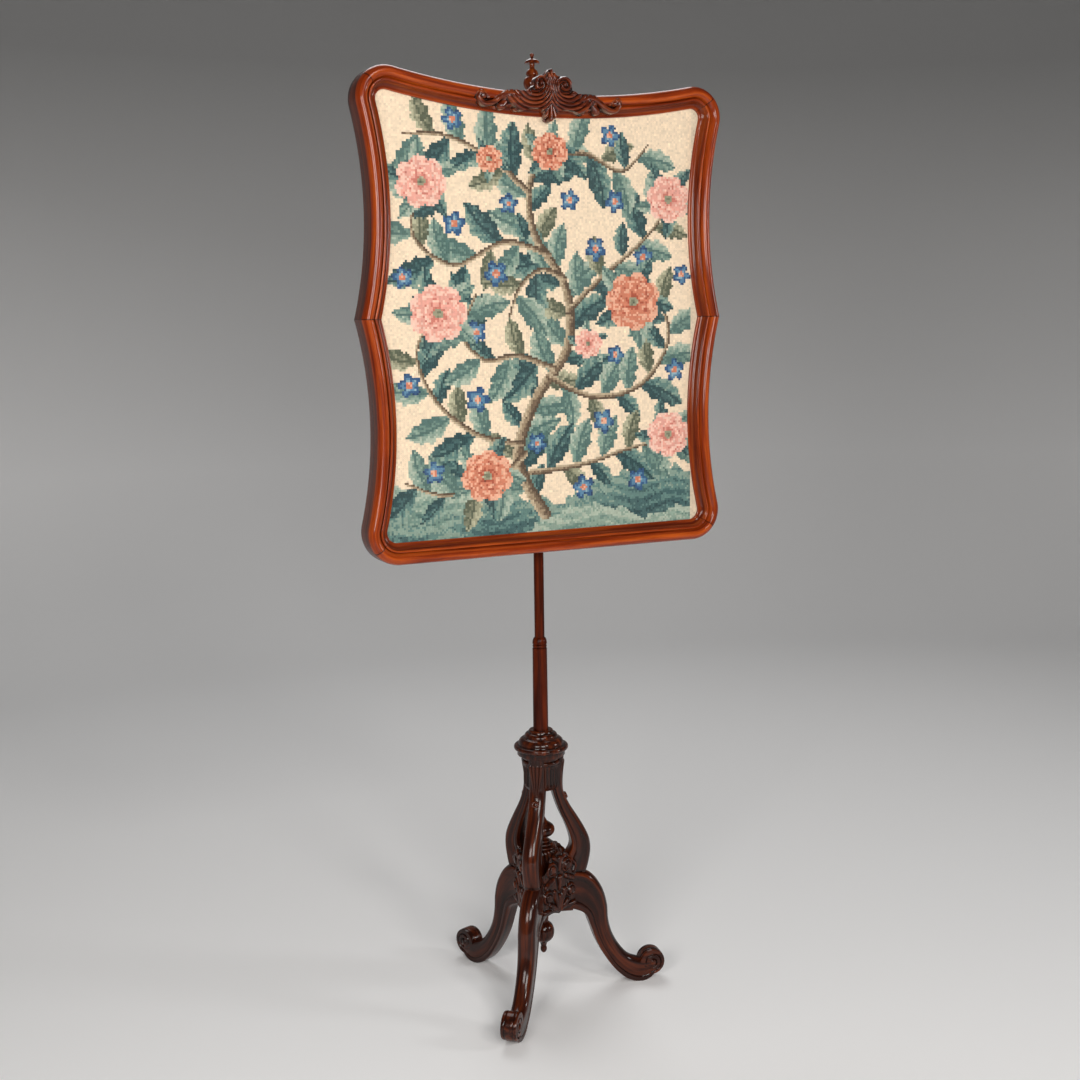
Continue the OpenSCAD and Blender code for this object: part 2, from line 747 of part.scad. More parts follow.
module leg_dowels() {
    color(pale_wood)
        for (turn = leg_turns)
            rotate([0, 0, turn])
                for (z = leg_dowel_z)
                    translate([hub_flat, 0, z])
                        rotate([0, 90, 0])
                            cylinder(r = dowel_r, h = dowel_len, center = true);
}

module strut_dowels() {
    color(pale_wood)
        for (turn = leg_turns)
            rotate([0, 0, turn])
                translate([strut_dowel_at, 0, knee_z - dowel_len / 2])
                    cylinder(r = dowel_r, h = dowel_len);
}

// The panel is drawn in its own plane, with depth from the frame's back forward, and then stood up
module stand_up() {
    translate([0, -panel_gap, panel_mid_z])
        rotate([90, 0, 0])
            children();
}

module mirrored() {
    children();
    mirror([1, 0, 0]) children();
}

// Section of the moulding as [inward from the outer edge, depth from the back]
roll_end = 25;
bead_start = 200;
bead_end = -15;
hollow_w = face_w - fillet_w - roll_w - 2.2 * bead_r;
hollow_top = bead_d - 1;
hollow_low = sight_d + 0.5;
moulding = concat(
    [[face_w - rebate_w, rebate_d], [face_w - rebate_w, 0], [0, 0]],
    arc([roll_w / 2, frame_d - roll_h], roll_w / 2, roll_h, 180, roll_end, 9),
    arc([roll_w + bead_r, bead_d], bead_r, bead_r, bead_start, bead_end, 4),
    arc([face_w - fillet_w, hollow_top], -hollow_w, hollow_low - hollow_top, 0, 90, 5),
    [[face_w, sight_d], [face_w, rebate_d]]
);

// Rings of the section round a corner, along a side's hollow curve, and along the top's
function corner_ring(section, c, r, a) =
    [for (p = section) [c[0] + (r - p[0]) * cos(a), c[1] + (r - p[0]) * sin(a), p[1]]];
function bay_ring(section, turn, t) =
    [for (p = section)
        let (r = side_r + p[0], a = 180 - turn + t * (turn + asin(bay_h / r)))
        [side_c[0] + r * cos(a), bay_h + r * sin(a), p[1]]];
function top_ring(section, a) =
    [for (p = section) [(top_r + p[0]) * cos(a), top_c[1] + (top_r + p[0]) * sin(a), p[1]]];
function mirror_ring(ring) = [for (p = ring) [-p[0], p[1], p[2]]];
function both_sides(half) =
    concat([for (i = [len(half) - 1:-1:0]) mirror_ring(half[i])], [for (i = [1:len(half) - 1]) half[i]]);

function top_rail_rings(section) =
    both_sides(concat(
        [for (i = [0:top_steps / 2]) top_ring(section, 270 + top_half * i / (top_steps / 2))],
        [for (i = [1:mitre_steps])
            let (a = 90 + top_half + (top_mitre - 90 - top_half) * i / mitre_steps)
            corner_ring(section, top_corner_c, top_corner_r, a)]
    ));
function bottom_rail_rings(section) =
    both_sides(concat(
        [[for (p = section) [0, p[0] - bottom_drop, p[1]]]],
        [for (i = [0:mitre_steps])
            let (a = -90 + (bottom_mitre + 90) * i / mitre_steps)
            corner_ring(section, bottom_corner_c, bottom_corner_r, a)]
    ));
function stile_rings(section, c, r, mitre, turn) =
    concat(
        [for (i = [0:mitre_steps - 1]) corner_ring(section, c, r, mitre - (mitre + turn) * i / mitre_steps)],
        [for (i = [0:side_steps]) bay_ring(section, turn, i / side_steps)]
    );

// Dowels of one joint, side by side in depth, along +Y
dowel_depths = [0.26, 0.62];

module joint_dowels(r, len) {
    for (depth = dowel_depths)
        translate([0, 0, depth * (frame_d - roll_h)])
            rotate([90, 0, 0])
                cylinder(r = r, h = len, center = true);
}

joint_share = 0.42;
joint_inset = joint_share * (face_w - rebate_w);
cusp_x = side_c[0] - sqrt(pow(side_r + joint_inset, 2) - bay_h * bay_h);

module top_joint(r, len) {
    translate(top_corner_c)
        rotate([0, 0, top_mitre])
            translate([top_corner_r - joint_inset, 0, 0])
                joint_dowels(r, len);
}

module bottom_joint(r, len) {
    translate(bottom_corner_c)
        rotate([0, 0, bottom_mitre])
            translate([bottom_corner_r - joint_inset, 0, 0])
                joint_dowels(r, len);
}

module cusp_joint(r, len) {
    translate([cusp_x, 0, 0])
        joint_dowels(r, len);
}

hole_r = frame_dowel_r + hole_gap;
hole_len = frame_dowel_len + 2 * hole_gap;

module frame_dowels() {
    color(pale_wood)
        stand_up()
            mirrored() {
                top_joint(frame_dowel_r, frame_dowel_len);
                cusp_joint(frame_dowel_r, frame_dowel_len);
                bottom_joint(frame_dowel_r, frame_dowel_len);
            }
}

module top_rail() {
    color(frame_wood)
        stand_up()
            difference() {
                skin(top_rail_rings(moulding));
                mirrored()
                    top_joint(hole_r, hole_len);
                bracket_screw_holes(upper_ring_z + ring_h / 2);
                crest_housing();
            }
}

module bottom_rail() {
    color(frame_wood)
        stand_up()
            difference() {
                skin(bottom_rail_rings(moulding));
                mirrored()
                    bottom_joint(hole_r, hole_len);
                bracket_screw_holes(lower_ring_z + ring_h / 2 - bottom_drop);
            }
}

module upper_stile() {
    color(frame_wood)
        difference() {
            skin(stile_rings(moulding, top_corner_c, top_corner_r, top_mitre, upper_side_turn));
            top_joint(hole_r, hole_len);
            cusp_joint(hole_r, hole_len);
        }
}

module lower_stile() {
    flipped_c = [bottom_corner_c[0], -bottom_corner_c[1]];
    color(frame_wood)
        difference() {
            mirror([0, 1, 0])
                skin(stile_rings(moulding, flipped_c, bottom_corner_r, -bottom_mitre, lower_side_turn));
            bottom_joint(hole_r, hole_len);
            cusp_joint(hole_r, hole_len);
        }
}

module right_upper_stile() {
    stand_up() upper_stile();
}

module right_lower_stile() {
    stand_up() lower_stile();
}

module left_upper_stile() {
    stand_up() mirror([1, 0, 0]) upper_stile();
}

module left_lower_stile() {
    stand_up() mirror([1, 0, 0]) lower_stile();
}

// Crest: one carved piece with a flat back, let into the front of the top rail.
// Its middle is at x = 0, and heights are measured from the dip of the rail.
rib_count = 5;
curl_from = 200;
rib_lap = 345;
rib_fade = 25;
crest_top = frame_d + crest_out;
crest_back = frame_d - 14;
crest_floor = frame_d - 3;
volute_eye_r = 3;
middle_margin = 6;
tail_sink = 2;
tail_swell = 1.3;
tail_r = 4.5;
tail_tip_r = 3.2;
knob_r = 4.5;
skim = 0.5;
volute_c = [volute_x, volute_z];

// Upper and lower edge of one half: [share of the tail's length, height]
crest_upper = [
    [0, 35], [0.034, 33], [0.068, 29], [0.1, 26], [0.145, 25], [0.197, 24.8], [0.24, 23], [0.275, 20],
    [0.295, 16], [0.305, 11], [0.32, 6], [0.35, 2.5], [0.4, 1], [0.46, 1.2], [0.56, 1.5], [0.62, 0.5],
    [0.68, -3], [0.75, -8.5], [0.81, -12],
    [0.86, -8.5], [0.905, -2.5], [0.95, 0], [0.99, -1], [1.02, -5], [1.035, -9]
];
crest_lower = [
    [0, -41], [0.026, -40.2], [0.051, -38], [0.073, -33.5], [0.09, -28], [0.12, -24.5], [0.17, -23.5],
    [0.24, -23], [0.3, -24], [0.35, -26], [0.43, -28.5], [0.49, -28], [0.515, -24], [0.545, -19], [0.58, -22],
    [0.625, -26], [0.675, -27.5], [0.725, -26], [0.79, -23.5], [0.855, -24.5], [0.915, -24.5], [0.965, -21],
    [1.01, -15.5], [1.035, -10.5]
];
// Middle line of a tail, in the same shares
tail_path = [for (p = smooth_curve([
    [0.45, -7], [0.56, -3], [0.68, -8], [0.79, -17], [0.91, -20], [0.985, -12], [0.96, -4], [0.92, -9]
], 2)) [p[0] * tail_x, p[1]]];

// Lobes of leaf on one half: [from, to, first radius, last radius, depth of the middle]
leaf_lobes = [
    [[0, -leaf_drop / 3], [0, 1 - leaf_drop], 2.4, 3.8, crest_floor + 2],
    [[2, -leaf_drop / 3], [8, 5 - leaf_drop], 2, 3.4, crest_floor + 1],
    [[0, volute_z - 6], [0, volute_z + 19], 2.6, 2, crest_top - 2],
    [[0.36 * tail_x, -20], [0.46 * tail_x, -23], 4, 5, frame_d - 7],
    [[0.57 * tail_x, -8], [0.67 * tail_x, -21], 4, 6, frame_d - 7],
    [[0.92 * tail_x, -9], [0.921 * tail_x, -9], knob_r, knob_r, frame_d - 2]
];

// Depth of the moulding's face at a distance in from its outer edge
face_line = [for (p = moulding) if (p[1] > rebate_d) p];
function face_depth(u) = lookup(u, face_line);

function floor_depth(p) =
    let (u = norm([p[0], p[1] - top_r]) - top_r)
    u > 0 ? face_depth(u) + skim
        : p[0] < volute_x + volute_r + middle_margin ? crest_floor : face_depth(0) + skim;

// Ribs that sweep down from the rail, up the middle and over into a volute, in shares of its radius:
// [turn from their tips, distance of the innermost rib, space from rib to rib]
rib_lines = [
    [-15, 2, 0.65], [0, 1.83, 0.62], [75, 1.38, 0.475], [165, 1.04, 0.27], [205, 0.92, 0.3],
    [245, 0.82, 0.37], [345, 0.8, 0.37], [435, 0.53, 0.3], [525, 0.37, 0.25]
];
rib_distance = [for (l = rib_lines) [l[0], volute_r * l[1]]];
rib_space = [for (l = rib_lines) [l[0], volute_r * l[2]]];
last_turn = rib_lines[len(rib_lines) - 1][0];

function rib_depth(rho, turn, count) =
    let (k = (rho - lookup(turn, rib_distance)) / lookup(turn, rib_space))
    let (fade = max(0, (rib_lap - 360 + rib_fade - turn) / rib_fade))
    k > -0.5 && k < count - 0.5 && turn < last_turn
        ? crest_top - rib_r * (1 - cos(180 * (k - round(k)))) - crest_out * fade : -big;
function curl_depth(rho, a) =
    let (turn = rib_lap - a)
    max(
        rib_depth(rho, turn, turn < curl_from ? rib_count : 1),
        rib_depth(rho, turn + 360, 1),
        rho < volute_eye_r ? crest_top - volute_eye_r + sqrt(volute_eye_r * volute_eye_r - rho * rho) : -big
    );

function relief(x, y) =
    let (p = [abs(x), y], q = p - volute_c, rho = norm(q), a = (atan2(q[1], q[0]) + 360) % 360)
    let (n = len(tail_path) - 1)
    max(concat(
        [floor_depth(p), curl_depth(rho, a)],
        [for (l = leaf_lobes) l[4] + ridge(p, l[0], l[1], l[2], l[3])],
        [for (i = [0:n - 1])
            let (thin = (tail_tip_r - tail_r) / n, r = tail_r + thin * i)
            frame_d - tail_sink + tail_swell * ridge(p, tail_path[i], tail_path[i + 1], r, r + thin)]
    ));

// Columns of the carving, close together in the middle
crest_rows = 20;
middle_columns = 20;
tail_columns = 17;
middle_share = 0.36;
end_share = 1.035;
half_columns = concat(
    [for (i = [0:middle_columns]) middle_share * i / middle_columns],
    [for (i = [1:tail_columns]) middle_share + (end_share - middle_share) * i / tail_columns]
);
columns = concat([for (i = [len(half_columns) - 1:-1:1]) -half_columns[i]], half_columns);
function upper_edge(s) = lookup(abs(s), crest_upper);
function lower_edge(s) = lookup(abs(s), crest_lower);

module crest_outline() {
    polygon(concat(
        [for (s = columns) [s * tail_x, lower_edge(s)]],
        [for (i = [len(columns) - 1:-1:0]) [columns[i] * tail_x, upper_edge(columns[i])]]
    ));
}

// Room for the crest in the front of the top rail
module crest_housing() {
    translate([0, top_rise, crest_back - seat_gap])
        linear_extrude(big)
            offset(delta = seat_gap)
                crest_outline();
}

module carving() {
    front = [for (s = columns) [for (j = [0:crest_rows])
        let (x = s * tail_x, y = lower_edge(s) + (upper_edge(s) - lower_edge(s)) * j / crest_rows)
        [x, y, relief(x, y)]]];
    back = [for (s = columns) [for (y = [lower_edge(s), upper_edge(s)]) [s * tail_x, y, crest_back]]];
    carved(front, back);
}

module crest() {
    color(frame_wood)
        stand_up()
            translate([0, top_rise, 0])
                carving();
}

// Outline of the panel, set in from the frame's outer edge
function side_points(inset, c, a0, a1) = arc(c, side_r + inset, side_r + inset, a0, a1, side_steps);
function half_outline(inset) =
    let (cusp = asin(bay_h / (side_r + inset)), low_c = [side_c[0], -bay_h])
    let (top = top_corner_r - inset, low = bottom_corner_r - inset)
    concat(
        arc(top_c, top_r + inset, top_r + inset, 270, 270 + top_half, top_steps / 2),
        arc(top_corner_c, top, top, 90 + top_half, -upper_side_turn, corner_steps),
        side_points(inset, side_c, 180 - upper_side_turn, 180 + cusp),
        side_points(inset, low_c, 180 - cusp, 180 + lower_side_turn),
        arc(bottom_corner_c, low, low, lower_side_turn, -90, corner_steps)
    );

module panel_sheet(inset, depth, t) {
    half = half_outline(inset);
    translate([0, 0, depth])
        linear_extrude(t)
            polygon(concat(half, [for (i = [len(half) - 1:-1:1]) [-half[i][0], half[i][1]]]));
}

module needlepoint() {
    color(cloth_colour)
        stand_up()
            panel_sheet(fill_inset, cloth_d, cloth_t);
}

function side_x(y, inset) = side_c[0] - sqrt(pow(side_r + inset, 2) - pow(abs(y) - bay_h, 2));

// Places of the back board's screws
module at_back_screws() {
    mirrored() {
        for (y = back_screw_heights)
            translate([side_x(y, back_screw_inset), y, 0])
                children();
        for (y = [top_rise - back_screw_inset, back_screw_inset - bottom_drop])
            translate([back_screw_top, y, 0])
                children();
    }
}

module back_screw_holes() {
    at_back_screws()
        translate([0, 0, back_d - 1])
            cylinder(r = screw_r + hole_gap, h = screw_len + 1 + hole_gap);
}

module stretcher_board() {
    color(pale_wood)
        stand_up()
            difference() {
                panel_sheet(fill_inset, board_d, board_t);
                back_screw_holes();
            }
}

module back_board() {
    color(frame_wood)
        stand_up()
            difference() {
                panel_sheet(fill_inset, back_d, back_t);
                back_screw_holes();
            }
}

// A screw with a domed head whose underside lies at depth 0, shank towards +Z
module domed_screw(head_r, head_t) {
    cylinder(r = screw_r, h = screw_len);
    rotate_extrude()
        polygon(concat([[0, 0]], arc([0, 0], head_r, -head_t, 0, 90, 6)));
}

module back_screws() {
    color(brass)
        stand_up()
            at_back_screws()
                translate([0, 0, back_d])
                    domed_screw(back_head_r, back_head_t);
}

module at_bracket_screws(y) {
    for (x = [-1, 1])
        translate([x * plate_screw_gap / 2, y, 0])
            children();
}

module bracket_screw_holes(y) {
    at_bracket_screws(y)
        translate([0, 0, -plate_t - 1])
            cylinder(r = screw_r + hole_gap, h = screw_len + 1 + hole_gap);
}

// A ring on the pole with an arm to a foot plate on the frame's back, underside at height z
module ring_bracket(z) {
    color(brass)
        translate([0, 0, z])
            difference() {
                union() {
                    cylinder(r = ring_out_r, h = ring_h);
                    translate([-arm_w / 2, -panel_gap, 0])
                        cube([arm_w, panel_gap, ring_h]);
                    translate([-plate_len / 2, -panel_gap, 0])
                        cube([plate_len, plate_t, ring_h]);
                }
                translate([0, 0, -1])
                    cylinder(r = ring_r, h = ring_h + 2);
                translate([0, -panel_gap, ring_h / 2])
                    rotate([90, 0, 0])
                        bracket_screw_holes(0);
            }
}

module upper_bracket() {
    ring_bracket(upper_ring_low);
}

module lower_bracket() {
    ring_bracket(lower_ring_low);
}

module bracket_screws() {
    color(brass)
        stand_up()
            for (y = [upper_ring_z + ring_h / 2, lower_ring_z + ring_h / 2 - bottom_drop])
                at_bracket_screws(y)
                    translate([0, 0, -plate_t])
                        domed_screw(bracket_head_r, bracket_head_t);
}

module stop_collar() {
    color(brass)
        difference() {
            translate([0, 0, stop_low])
                cylinder(r = ring_out_r, h = stop_h);
            translate([0, 0, stop_low - 1])
                cylinder(r = ring_r, h = stop_h + 2);
            translate([0, 0, thumb_z])
                rotate([-90, 0, 0])
                    cylinder(r = thumb_shank_r + run_gap, h = 2 * ring_out_r);
        }
}

// Thumb screw with a knurled head, pointing to the back
module thumb_screw() {
    tip = upper_pole_r + thumb_tip_gap;
    head = ring_out_r + thumb_head_gap;
    color(brass)
        translate([0, 0, thumb_z])
            rotate([-90, 0, 0]) {
                translate([0, 0, tip])
                    cylinder(r = thumb_shank_r, h = head - tip);
                difference() {
                    translate([0, 0, head])
                        cylinder(r = thumb_head_r, h = thumb_head_t);
                    for (i = [0:knurls - 1])
                        rotate([0, 0, 360 * i / knurls])
                            translate([thumb_head_r, 0, head - 1])
                                cylinder(r = knurl_r, h = thumb_head_t + 2, $fn = 24);
                }
            }
}

leg_front();
leg_right();
leg_back();
base_hub();
pendant_drop();
leaf_apron_right();
leaf_apron_left();
leaf_apron_back();
cage_strut_front();
cage_strut_right();
cage_strut_back();
cage_finial();
cage_neck();
pole_collar();
lower_pole();
pole_ferrule();
upper_pole();
pole_finial();
leg_dowels();
strut_dowels();
top_rail();
bottom_rail();
left_upper_stile();
left_lower_stile();
right_upper_stile();
right_lower_stile();
frame_dowels();
crest();
needlepoint();
stretcher_board();
back_board();
back_screws();
upper_bracket();
lower_bracket();
bracket_screws();
stop_collar();
thumb_screw();
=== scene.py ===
import math

import bmesh
import bpy
import numpy as np
from mathutils import Matrix, Vector


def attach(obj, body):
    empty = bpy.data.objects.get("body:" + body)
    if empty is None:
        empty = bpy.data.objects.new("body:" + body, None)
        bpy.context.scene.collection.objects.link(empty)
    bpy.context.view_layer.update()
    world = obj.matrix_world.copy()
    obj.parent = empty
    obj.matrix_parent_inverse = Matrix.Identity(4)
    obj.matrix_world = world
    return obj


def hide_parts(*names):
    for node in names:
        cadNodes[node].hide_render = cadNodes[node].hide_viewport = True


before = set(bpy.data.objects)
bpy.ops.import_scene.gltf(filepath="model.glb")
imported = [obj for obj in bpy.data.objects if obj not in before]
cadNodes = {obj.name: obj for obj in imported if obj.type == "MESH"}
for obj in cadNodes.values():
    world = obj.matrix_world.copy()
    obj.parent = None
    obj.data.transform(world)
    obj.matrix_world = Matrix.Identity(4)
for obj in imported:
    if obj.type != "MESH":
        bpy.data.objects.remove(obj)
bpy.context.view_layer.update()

mm = 0.001
print("frame loaded:", len(cadNodes), "nodes")


# View: camera and light
view = {
    "lens": 47.0, "sensor": 36.0, "distance": 2.2096, "height": 1.09005,
    "turn": 25.68, "pan": 0.07, "pitch": 8.55, "roll": -0.75,
}


def setCamera():
    turn, pan, pitch, roll = (math.radians(view[k]) for k in ("turn", "pan", "pitch", "roll"))
    place = Vector((-view["distance"] * math.sin(turn), -view["distance"] * math.cos(turn), view["height"]))
    level = math.cos(pitch)
    ahead = Vector((level * math.sin(turn + pan), level * math.cos(turn + pan), -math.sin(pitch)))
    right = ahead.cross(Vector((0, 0, 1))).normalized()
    up = right.cross(ahead)
    rightRolled = right * math.cos(roll) + up * math.sin(roll)
    upRolled = up * math.cos(roll) - right * math.sin(roll)
    data = bpy.data.cameras.new("photoCamera")
    data.lens = view["lens"]
    data.sensor_width = view["sensor"]
    camera = bpy.data.objects.new("photoCamera", data)
    turned = Matrix((rightRolled, upRolled, -ahead)).transposed().to_4x4()
    camera.matrix_world = Matrix.Translation(place) @ turned
    bpy.context.scene.collection.objects.link(camera)
    bpy.context.scene.camera = camera


lamps = [  # name, place, aimed at, size, watts, colour
    ("keyLamp", (0.4, -3.05, 2.4), (0, 0, 0.9), 0.5, 20, (1.0, 0.97, 0.94)),
    ("leftEyeLamp", (-1.79, -1.75, 1.3), (0, 0, 0.8), 0.8, 24, (1.0, 0.97, 0.94)),
    ("rightEyeLamp", (-0.58, -2.38, 1.4), (0, 0, 0.8), 0.8, 28, (1.0, 0.97, 0.94)),
    ("fillLamp", (2.5, -1.7, 1.3), (0, 0, 0.7), 0.5, 15, (0.99, 0.99, 1.0)),
    ("backLamp", (0.5, 1.7, 3.2), (0, 0, 0.9), 1.8, 32, (1.0, 1.0, 1.0)),
]
daylight = {"colour": (1.0, 0.98, 0.96), "strength": 0.1}


def setLight():
    for name, place, aim, size, watts, colour in lamps:
        data = bpy.data.lights.new(name, "AREA")
        data.shape = "SQUARE"
        data.size = size
        data.energy = watts
        data.color = colour
        lamp = bpy.data.objects.new(name, data)
        lamp.location = place
        lamp.rotation_euler = (Vector(aim) - Vector(place)).to_track_quat("-Z", "Y").to_euler()
        lamp.visible_camera = False
        bpy.context.scene.collection.objects.link(lamp)
    world = bpy.data.worlds.new("studio")
    bpy.context.scene.world = world
    world.use_nodes = True
    sky = world.node_tree.nodes["Background"]
    sky.inputs["Color"].default_value = (*daylight["colour"], 1)
    sky.inputs["Strength"].default_value = daylight["strength"]
    bpy.context.scene.view_settings.view_transform = "Standard"


def linear(*rgb):  # screen colour, 0 to 255, as light
    c = np.array(rgb, float) / 255.0
    return tuple(np.where(c <= 0.04045, c / 12.92, ((c + 0.055) / 1.055) ** 2.4))


# Finishes
class Sheet:  # a material's node tree, with short ways to add and join nodes
    def __init__(self, name):
        self.material = bpy.data.materials.new(name)
        self.material.use_nodes = True
        self.tree = self.material.node_tree
        self.skin = self.tree.nodes["Principled BSDF"]

    def add(self, kind, **values):
        node = self.tree.nodes.new(kind)
        for key, value in values.items():
            setattr(node, key, value)
        return node

    def join(self, a, b):
        self.tree.links.new(a, b)

    def give(self, value, socket):  # a number, a colour or what another node puts out
        if isinstance(value, (int, float)):
            socket.default_value = value
        elif isinstance(value, tuple):
            socket.default_value = (*value, 1)
        else:
            self.join(value, socket)

    def maths(self, how, a, b, clamp=False):
        node = self.add("ShaderNodeMath", operation=how, use_clamp=clamp)
        for value, socket in zip((a, b), node.inputs):
            self.give(value, socket)
        return node.outputs[0]

    def noise(self, vector, scale, detail, rough):
        node = self.add("ShaderNodeTexNoise")
        node.inputs["Scale"].default_value = scale
        node.inputs["Detail"].default_value = detail
        node.inputs["Roughness"].default_value = rough
        self.join(vector, node.inputs["Vector"])
        return node.outputs["Fac"]

    def ramp(self, value, places, colours):
        node = self.add("ShaderNodeValToRGB")
        bar = node.color_ramp.elements
        while len(bar) < len(places):
            bar.new(0.5)
        for stop, place, colour in zip(bar, places, colours):
            stop.position = place
            stop.color = (*colour, 1)
        self.join(value, node.inputs["Fac"])
        return node.outputs["Color"]

    def mix(self, share, a, b, blend="MIX"):
        node = self.add("ShaderNodeMix", data_type="RGBA", blend_type=blend)
        for value, socket in ((share, 0), (a, 6), (b, 7)):  # 6 and 7 are the sockets for colours
            self.give(value, node.inputs[socket])
        return node.outputs[2]

    def bumps(self, height, strength, distance):
        node = self.add("ShaderNodeBump")
        node.inputs["Strength"].default_value = strength
        node.inputs["Distance"].default_value = distance
        self.join(height, node.inputs["Height"])
        self.join(node.outputs["Normal"], self.skin.inputs["Normal"])

    def dress(self, values):  # plain values, straight on the skin's sockets
        for socket, value in values.items():
            self.skin.inputs[socket].default_value = value


# Floor and backdrop
studioFloor = {
    "middle": -2.0, "reach": 6.0, "bend": 1.6, "bendStep": 6, "rise": 9.0, "sectors": 96,
    "white": (0.90, 0.90, 0.90), "grey": (0.36, 0.36, 0.36), "greyFrom": 0.25, "greyAt": 2.2, "rough": 0.85,
}


def floorPaper():  # white underfoot, with painted shade darkening it to grey up the backdrop
    sheet = Sheet("floorPaper")
    split = sheet.add("ShaderNodeSeparateXYZ")
    sheet.join(sheet.add("ShaderNodeTexCoord").outputs["Object"], split.inputs[0])
    up = sheet.maths("MULTIPLY", split.outputs[2], 1 / studioFloor["greyAt"])
    tone = sheet.ramp(up, (studioFloor["greyFrom"], 1.0), (studioFloor["white"], studioFloor["grey"]))
    sheet.join(tone, sheet.skin.inputs["Base Color"])
    sheet.dress({"Roughness": studioFloor["rough"]})
    return sheet.material


def setFloor():  # a round floor whose edge bends up into the backdrop on every side
    reach, bend, n = studioFloor["reach"], studioFloor["bend"], studioFloor["sectors"]
    turns = np.radians(np.arange(0, 91, studioFloor["bendStep"]))
    line = [(reach - bend + bend * math.sin(a), bend - bend * math.cos(a)) for a in turns]
    line += [(reach, studioFloor["rise"])]
    around = np.linspace(0, 2 * math.pi, n, endpoint=False)
    verts = [(r * math.cos(a), studioFloor["middle"] + r * math.sin(a), z) for r, z in line for a in around]
    faces = [(i * n + k, (i + 1) * n + k, (i + 1) * n + (k + 1) % n, i * n + (k + 1) % n)
             for i in range(len(line) - 1) for k in range(n)]
    faces.append(tuple(range(n)))
    mesh = bpy.data.meshes.new("studioFloor")
    mesh.from_pydata(verts, [], faces)
    mesh.polygons.foreach_set("use_smooth", [True] * len(faces))
    mesh.materials.append(floorPaper())
    floor = bpy.data.objects.new("studioFloor", mesh)
    bpy.context.scene.collection.objects.link(floor)


setCamera()
setLight()
setFloor()
print("camera, light and floor are set")


# Woods, brass and wool
def grainVector(sheet, upright, stretch):  # along the length first, then the two ways across
    if upright:
        place = sheet.add("ShaderNodeTexCoord").outputs["Object"]
        split = sheet.add("ShaderNodeSeparateXYZ")
        sheet.join(place, split.inputs[0])
        along, side, deep = split.outputs[2], split.outputs[0], split.outputs[1]
    else:
        held = sheet.add("ShaderNodeAttribute", attribute_name="grain")
        split = sheet.add("ShaderNodeSeparateXYZ")
        sheet.join(held.outputs["Vector"], split.inputs[0])
        along, side, deep = split.outputs[0], split.outputs[1], split.outputs[2]
    joined = sheet.add("ShaderNodeCombineXYZ")
    sheet.join(sheet.maths("MULTIPLY", along, stretch[0]), joined.inputs[0])
    sheet.join(sheet.maths("MULTIPLY", side, stretch[1]), joined.inputs[1])
    sheet.join(sheet.maths("MULTIPLY", deep, stretch[1]), joined.inputs[2])
    return joined.outputs[0]


woodLook = {  # pairs are the scales along and across the grain
    "streaks": (7, 130), "stops": (0.30, 0.47, 0.66), "figure": (9, 22), "figureShare": 0.42,
    "pores": (85, 1500), "poresFrom": 0.56, "poresGain": 3.4, "poresShare": 0.55, "poresDark": 0.35,
    "hollowDark": 0.22, "hollowRough": 0.25, "wornFrom": 0.53, "wornGain": 2.2, "wornShare": 0.45,
    "smears": (30, 60), "smearsRough": 0.22, "smearsLevel": 0.09, "specular": 0.04,
    "bump": 0.16, "bareBump": 0.5, "bumpDeep": 0.0004, "streaksDeep": 0.5,
}


def darker(tone, share):
    return tuple(c * share for c in tone)


def polishedWood(name, deep, middle, light, upright=False, rough=0.36, coat=0.3, blur=0.16, bare=False):
    sheet, w = Sheet(name), woodLook
    streaks = sheet.noise(grainVector(sheet, upright, w["streaks"]), 1.0, 5.0, 0.6)
    colour = sheet.ramp(streaks, w["stops"], (deep, middle, light))
    figure = sheet.noise(grainVector(sheet, upright, w["figure"]), 1.0, 2.0, 0.5)
    colour = sheet.mix(sheet.maths("MULTIPLY", figure, w["figureShare"]), colour, deep)
    pores = sheet.noise(grainVector(sheet, upright, w["pores"]), 1.0, 2.0, 0.5)
    pores = sheet.maths("SUBTRACT", pores, w["poresFrom"], True)
    flecks = sheet.maths("MULTIPLY", pores, w["poresGain"], True)
    fleckTone = darker(deep, w["poresDark"])
    colour = sheet.mix(sheet.maths("MULTIPLY", flecks, w["poresShare"]), colour, fleckTone)
    hollow = sheet.add("ShaderNodeAttribute", attribute_name="hollow").outputs["Fac"]
    # painted shade in hollows, creases and under parts, and dark joint lines, from the hollow attribute
    colour = sheet.mix(hollow, colour, darker(deep, w["hollowDark"]))
    point = sheet.add("ShaderNodeNewGeometry").outputs["Pointiness"]
    point = sheet.maths("SUBTRACT", point, w["wornFrom"], True)
    worn = sheet.maths("MULTIPLY", point, w["wornGain"], True)
    colour = sheet.mix(sheet.maths("MULTIPLY", worn, w["wornShare"]), colour, light)
    sheet.join(colour, sheet.skin.inputs["Base Color"])
    smears = sheet.noise(grainVector(sheet, upright, w["smears"]), 1.0, 3.0, 0.6)
    gloss = sheet.maths("ADD", sheet.maths("MULTIPLY", smears, w["smearsRough"]), rough - w["smearsLevel"])
    gloss = sheet.maths("ADD", gloss, sheet.maths("MULTIPLY", hollow, w["hollowRough"]), True)
    sheet.join(gloss, sheet.skin.inputs["Roughness"])
    height = sheet.maths("SUBTRACT", sheet.maths("MULTIPLY", streaks, w["streaksDeep"]), flecks)
    sheet.bumps(height, w["bareBump"] if bare else w["bump"], w["bumpDeep"])
    sheet.dress({"Specular IOR Level": w["specular"], "Coat Weight": coat, "Coat Roughness": blur})
    return sheet.material


